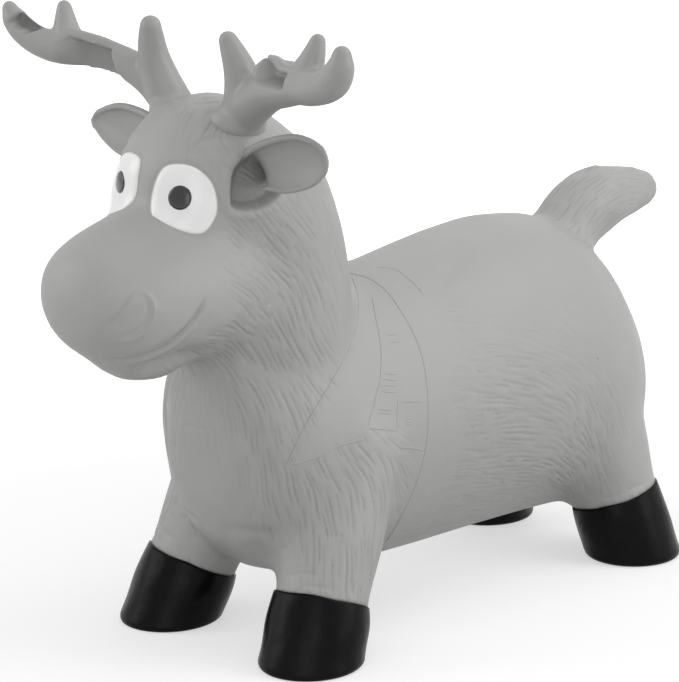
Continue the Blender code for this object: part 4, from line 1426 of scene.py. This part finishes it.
# Ears: cupped leaves of the same soft PVC, welded to the side of the skull, with a thick rolled rim
# along the top. Their outline was read off the photograph, in the leaf's own upright plane.
EAR_ROOT = Vector((0.04544, -0.21179, 0.37009))
EAR_WAY = Vector((0.084, 0.016, 0.026))
EAR_TOP_PIXELS = {
    "left": (
        (237, 159), (247, 151.5), (260, 145), (275, 140), (293, 137.5), (309, 142), (320, 150), (325.5, 161),
    ),
    "right": ((163, 127), (150, 118.5), (135, 110.5), (117, 106), (102, 109.5), (93, 115), (90, 118.5)),
}
EAR_LOW_PIXELS = {
    "left": (
        (255, 188), (263, 189), (273, 190.5), (284, 192), (297, 190), (307, 187), (316.5, 181), (324, 171),
    ),
    "right": ((138, 166), (126, 157.5), (113, 150), (101, 138), (94, 128), (91, 123.5)),
}
EAR_CUP = 0.0075
EAR_CUP_FADE = 2.2
EAR_CUP_POWER = 0.6
EAR_CUP_LEAN = 2.5
EAR_WALL = 0.0045
EAR_RIM = 0.0030
EAR_LOW_RIM = 0.0019
EAR_STEP = 0.0002
EAR_ALONG = 40
EAR_ACROSS = 24
EAR_RIM_SKIP = 4
EAR_TUCK = 0.017
EAR_TUCK_SHARE = 0.20
EAR_VOXEL = 0.0011
EAR_ROUNDS = 4
EAR_FACING = EAR_WAY.cross(Vector((0, 0, 1))).normalized()


def on_ear(pixel, side):
    """The place in an ear's plane that the photograph shows at this pixel, as on the left ear."""
    way = sight(pixel)
    facing = on_side(side, EAR_FACING)
    place = VIEW_POINT + way * ((on_side(side, EAR_ROOT) - VIEW_POINT).dot(facing) / way.dot(facing))
    return on_side(side, place)


def ear_edge(pixels, side):
    """Places at even shares of an edge of an ear."""
    line = smooth_line([on_ear(pixel, side) for pixel in pixels], EAR_STEP)
    return [line[round(i * (len(line) - 1) / (EAR_ALONG - 1))] for i in range(EAR_ALONG)]


ear_finish = finish(
    "grey_vinyl_ear", (0.345, 0.343, 0.336), scale=110, bump=0.00025, roughness=0.48, clouding=0.12
)
ear_back = EAR_FACING if EAR_FACING.y > 0 else -EAR_FACING
for word, side in SIDES:
    ear_top = ear_edge(EAR_TOP_PIXELS[word], side)
    ear_low = ear_edge(EAR_LOW_PIXELS[word], side)
    shape = bmesh.new()
    rows = []
    for i, (top, low) in enumerate(zip(ear_top, ear_low)):
        along = i / (EAR_ALONG - 1)
        tuck = EAR_TUCK * max(0, 1 - along / EAR_TUCK_SHARE) ** 2
        cup = EAR_CUP * min(1, EAR_CUP_FADE * (1 - along)) ** EAR_CUP_POWER
        near, far = [], []
        for j in range(EAR_ACROSS + 1):
            across = 2 * j / EAR_ACROSS - 1
            power = 2 + EAR_CUP_LEAN * (1 - along) * max(0, across)
            place = low.lerp(top, j / EAR_ACROSS) + ear_back * (tuck + cup * (1 - abs(across) ** power))
            near.append(shape.verts.new(on_side(side, place)))
            far.append(shape.verts.new(on_side(side, place + ear_back * EAR_WALL)))
        rows.append([*near, *reversed(far)])
    capped(shape, rows)
    rim = [*ear_top, *reversed(ear_low)]
    path, radii = [], []
    for i in range(0, len(rim), EAR_RIM_SKIP):
        share = min(1, i / EAR_ALONG)
        path.append(on_side(side, rim[i] + ear_back * EAR_WALL / 2))
        radii.append(EAR_RIM + (EAR_LOW_RIM - EAR_RIM) * share**2)
    tube(shape, path, radii, resolution=4)
    bmesh.ops.recalc_face_normals(shape, faces=shape.faces)
    leaf = melted(shape, "ear", EAR_VOXEL, EAR_ROUNDS)
    piece(leaf, f"ear_{word}_leaf", ear_finish, "grey_vinyl", "hopper", f"ear_{word}")

# Hooves: black PVC boots with a flat sole and a rounded edge. The feet were dipped, so the gloss is
# a little wavy and the upper edge is not quite even.
FOOT_STRETCH = 1.08
HOOF_RIM_PROUD = 0.0008
HOOF_WALL = 0.0020
HOOF_SOLE = 0.0025
HOOF_EDGE = 0.0050
HOOF_SIDES = 128
HOOF_EDGE_RINGS = 8
HOOF_WALL_RINGS = 28
HOOF_BULGE = 0.0022
HOOF_WAVE = 0.0007
HOOF_WAVE_SCALE = 45
HOOF_WAVE_START = 4
HOOF_RIM_WAVE = 0.0012
HOOF_RIM_WAVE_SCALE = 1.7
hoof_finish = finish(
    "glossy_black_vinyl", (0.0045, 0.0047, 0.0055), scale=70, bump=0.0009, roughness=0.24, clouding=0.30,
    change=0.16, specular=0.07, coat=0.015,
)


def hoof_ring(leg, up, radius):
    """A ring round a foot: level at the sole, and square to the leg at the rim, where up is 1."""
    side, foot_x, foot_y = leg[:3]
    rim_middle, axis = leg_axis(leg)
    sole = Vector((side * foot_x, foot_y, 0))
    across = Vector((0, 1, 0)).cross(axis).normalized()
    along = axis.cross(across)
    across = Vector((1, 0, 0)).lerp(across, up) * radius
    along = Vector((0, FOOT_STRETCH, 0)).lerp(along, up) * radius
    return oval(sole.lerp(rim_middle, up), across, along, HOOF_SIDES)


def hoof_radius(up):
    """The hoof's outer radius from the sole, 0, to its rim, 1. It swells a little in between."""
    straight = FOOT_RADIUS + (ANKLE_RADIUS + HOOF_RIM_PROUD - FOOT_RADIUS) * up
    return straight + HOOF_BULGE * max(0, sin(pi * up)) * up


def hoof_wall(leg, up, inset=0):
    """A ring of the hoof's wall with a slow unevenness, outwards and along the leg."""
    axis = leg_axis(leg)[1]
    ring = hoof_ring(leg, up, hoof_radius(up) - inset)
    swell = HOOF_WAVE * min(1, HOOF_WAVE_START * up)
    lift = HOOF_RIM_WAVE * up**3
    middle = sum(ring, Vector()) / len(ring)
    found = []
    for place in ring:
        out = (place - middle).normalized()
        wave = noise.noise(place * HOOF_WAVE_SCALE)
        rim_wave = noise.noise(out * HOOF_RIM_WAVE_SCALE + middle)
        found.append(place + out * swell * wave + axis * lift * rim_wave)
    return found


for name, leg in LEGS.items():
    edge = HOOF_EDGE / leg[-1]
    sole = HOOF_SOLE / leg[-1]
    rings = []
    for i in range(1, HOOF_EDGE_RINGS + 1):
        turn = i / HOOF_EDGE_RINGS * pi / 2
        drawn = HOOF_EDGE * (1 - sin(turn))
        up = HOOF_EDGE * (1 - cos(turn)) / leg[-1]
        rings.append(hoof_ring(leg, up, hoof_radius(up) - drawn))
    for i in range(1, HOOF_WALL_RINGS + 1):
        rings.append(hoof_wall(leg, edge + (1 - edge) * i / HOOF_WALL_RINGS))
    for i in range(HOOF_WALL_RINGS, -1, -1):
        rings.append(hoof_wall(leg, sole + (1 - sole) * i / HOOF_WALL_RINGS, HOOF_WALL))
    shape = bmesh.new()
    loft(shape, rings)
    bmesh.ops.recalc_face_normals(shape, faces=shape.faces)
    cap = meshed(shape, "hoof")
    piece(cap, f"hoof_{name}_cap", hoof_finish, "black_vinyl", "hopper", f"hoof_{name}")

# Eyes: white vinyl inlays let into the head, with a glossy black pupil in each. They are low lenses
# whose rim lies flush with the skin.
PUPIL_PIXELS = {"left": (180.8, 197.8), "right": (170.4, 191.5)}
PUPIL_HALF_PIXELS = {"left": (13.0, 13.9), "right": (12.0, 12.9)}
EYE_SIDES = 96
PUPIL_SIDES = 64
EYE_RINGS = 14
EYE_PROUD = 0.0008
EYE_CROWN = 0.0012
EYE_EDGE = 5
EYE_SUNK = 0.0022
EYE_WELD = 0.00002
PUPIL_PROUD = 0.0014
PUPIL_CROWN = 0.0013
eye_finish = finish(
    "white_vinyl_eye", (0.95, 0.95, 0.945), scale=120, bump=0.00015, roughness=0.26, clouding=0.02,
    speckle=0.02, change=0.05, coat=0.1,
)
pupil_finish = finish(
    "black_vinyl_pupil", (0.012, 0.012, 0.014), scale=120, bump=0.00020, roughness=0.22, speckle=0.02,
    change=0.06, coat=0.2,
)


def closed_line(pixels, sides):
    """Pixels at even turns round a smooth closed outline."""
    knots = [np.array(pixel, float) for pixel in pixels]
    total = len(knots)
    found = []
    for i in range(sides):
        t = i * total / sides
        k = int(t)
        t -= k
        found.append(bent(*(knots[(k + step) % total] for step in (-1, 0, 1, 2)), t))
    return found


def inlay(outline, middle, side, proud, crown):
    """A lens on the skin inside an outline of pixels, closed by its back inside the skin."""
    middle = np.array(middle, float)
    shape = bmesh.new()
    front, back = [], []
    for ring in range(EYE_RINGS + 1):
        share = ring / EYE_RINGS
        near, far = [], []
        for pixel in outline:
            place, normal, _, _ = SKIN.ray_cast(VIEW_POINT, sight(middle + (pixel - middle) * share))
            height = (proud + crown * (1 - share**2)) * min(1, EYE_EDGE * (1 - share)) ** 0.5
            near.append(shape.verts.new(on_side(side, place + normal * height)))
            far.append(shape.verts.new(on_side(side, place - normal * EYE_SUNK)))
        front.append(near)
        back.append(far)
    joined(shape, [*front, *reversed(back)])
    bmesh.ops.remove_doubles(shape, verts=shape.verts, dist=EYE_WELD)
    bmesh.ops.recalc_face_normals(shape, faces=shape.faces)
    return meshed(shape, "inlay")


for word, side in SIDES:
    eye_outline = closed_line(EYE_PIXELS[word], EYE_SIDES)
    eye_middle = np.mean(eye_outline, axis=0)
    white = inlay(eye_outline, eye_middle, side, EYE_PROUD, EYE_CROWN)
    piece(white, f"eye_{word}_white", eye_finish, "white_vinyl", "hopper", f"eye_white_{word}")
    pupil_middle = np.array(PUPIL_PIXELS[word])
    pupil_outline = []
    for i in range(PUPIL_SIDES):
        turn = 2 * pi * i / PUPIL_SIDES
        pupil_outline.append(pupil_middle + np.array(PUPIL_HALF_PIXELS[word]) * (cos(turn), sin(turn)))
    black = inlay(pupil_outline, pupil_middle, side, EYE_PROUD + PUPIL_PROUD, PUPIL_CROWN)
    piece(black, f"eye_{word}_pupil", pupil_finish, "pupil_vinyl", "hopper", f"pupil_{word}")

# Air valve: a soft pale bush welded into the belly, with a flange outside, and a plug that a thumb
# pushes into it. The photograph doesn't show it, so it is made as such toys have it.
VALVE_SIDES = 72
# Radius, and height over the lowest point of the CAD node
SEAT_PROFILE = (
    (0.0046, 0.0006), (0.0050, 0.0001), (0.0056, 0.0000), (0.0086, 0.0000), (0.0090, -0.0003),
    (0.0096, -0.0005), (0.0102, -0.0003), (0.0106, 0.0000), (0.0122, 0.0000), (0.0128, 0.0003),
    (0.0130, 0.0008), (0.0128, 0.0013), (0.0122, 0.0016), (0.0092, 0.0018), (0.0078, 0.0022),
    (0.0072, 0.0030), (0.0072, 0.0120), (0.0070, 0.0126), (0.0066, 0.0129), (0.0052, 0.0129),
    (0.0048, 0.0127), (0.0046, 0.0122),
)
PLUG_PROFILE = (
    (0.0020, 0.0005), (0.0024, 0.0003), (0.0030, 0.0000), (0.0040, 0.0000), (0.0046, 0.0003),
    (0.0052, 0.0004), (0.0064, 0.0002), (0.0070, 0.0000), (0.0075, 0.0002), (0.0078, 0.0007),
    (0.0077, 0.0012), (0.0073, 0.0016), (0.0052, 0.0017), (0.0045, 0.0020), (0.0043, 0.0026),
    (0.0043, 0.0058), (0.0045, 0.0064), (0.0045, 0.0070), (0.0042, 0.0076), (0.0041, 0.0116),
    (0.0037, 0.0126), (0.0030, 0.0130),
)
valve_finish = finish(
    "pale_valve_vinyl", (0.74, 0.74, 0.72), scale=300, bump=0.00012, roughness=0.40, clouding=0.06,
    speckle=0.04, change=0.08,
)


def turned(node_name, profile, hollow):
    """A ring or a plug turned about the upright middle of a CAD node."""
    low, high = (Vector(corner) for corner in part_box(node_name))
    middle = (low + high) / 2
    shape = bmesh.new()
    rows = []
    for radius, height in profile:
        centre = Vector((middle.x, middle.y, low.z + height))
        ring = oval(centre, Vector((radius, 0, 0)), Vector((0, radius, 0)), VALVE_SIDES)
        rows.append([shape.verts.new(point) for point in ring])
    if hollow:
        joined(shape, [*rows, rows[0]])
    else:
        capped(shape, rows)
    bmesh.ops.recalc_face_normals(shape, faces=shape.faces)
    return meshed(shape, node_name)


seat = turned("valve_seat", SEAT_PROFILE, True)
piece(seat, "valve_bush", valve_finish, "valve_vinyl", "hopper", "valve_seat")
plug = turned("valve_plug", PLUG_PROFILE, False)
piece(plug, "valve_thumb_plug", valve_finish, "valve_vinyl", "plug", "valve_plug")

# The CAD model's box and this one's
sizes = {
    "cad": [list(corner) for corner in CAD_BOX],
    "scene": [list(corner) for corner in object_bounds()],
}
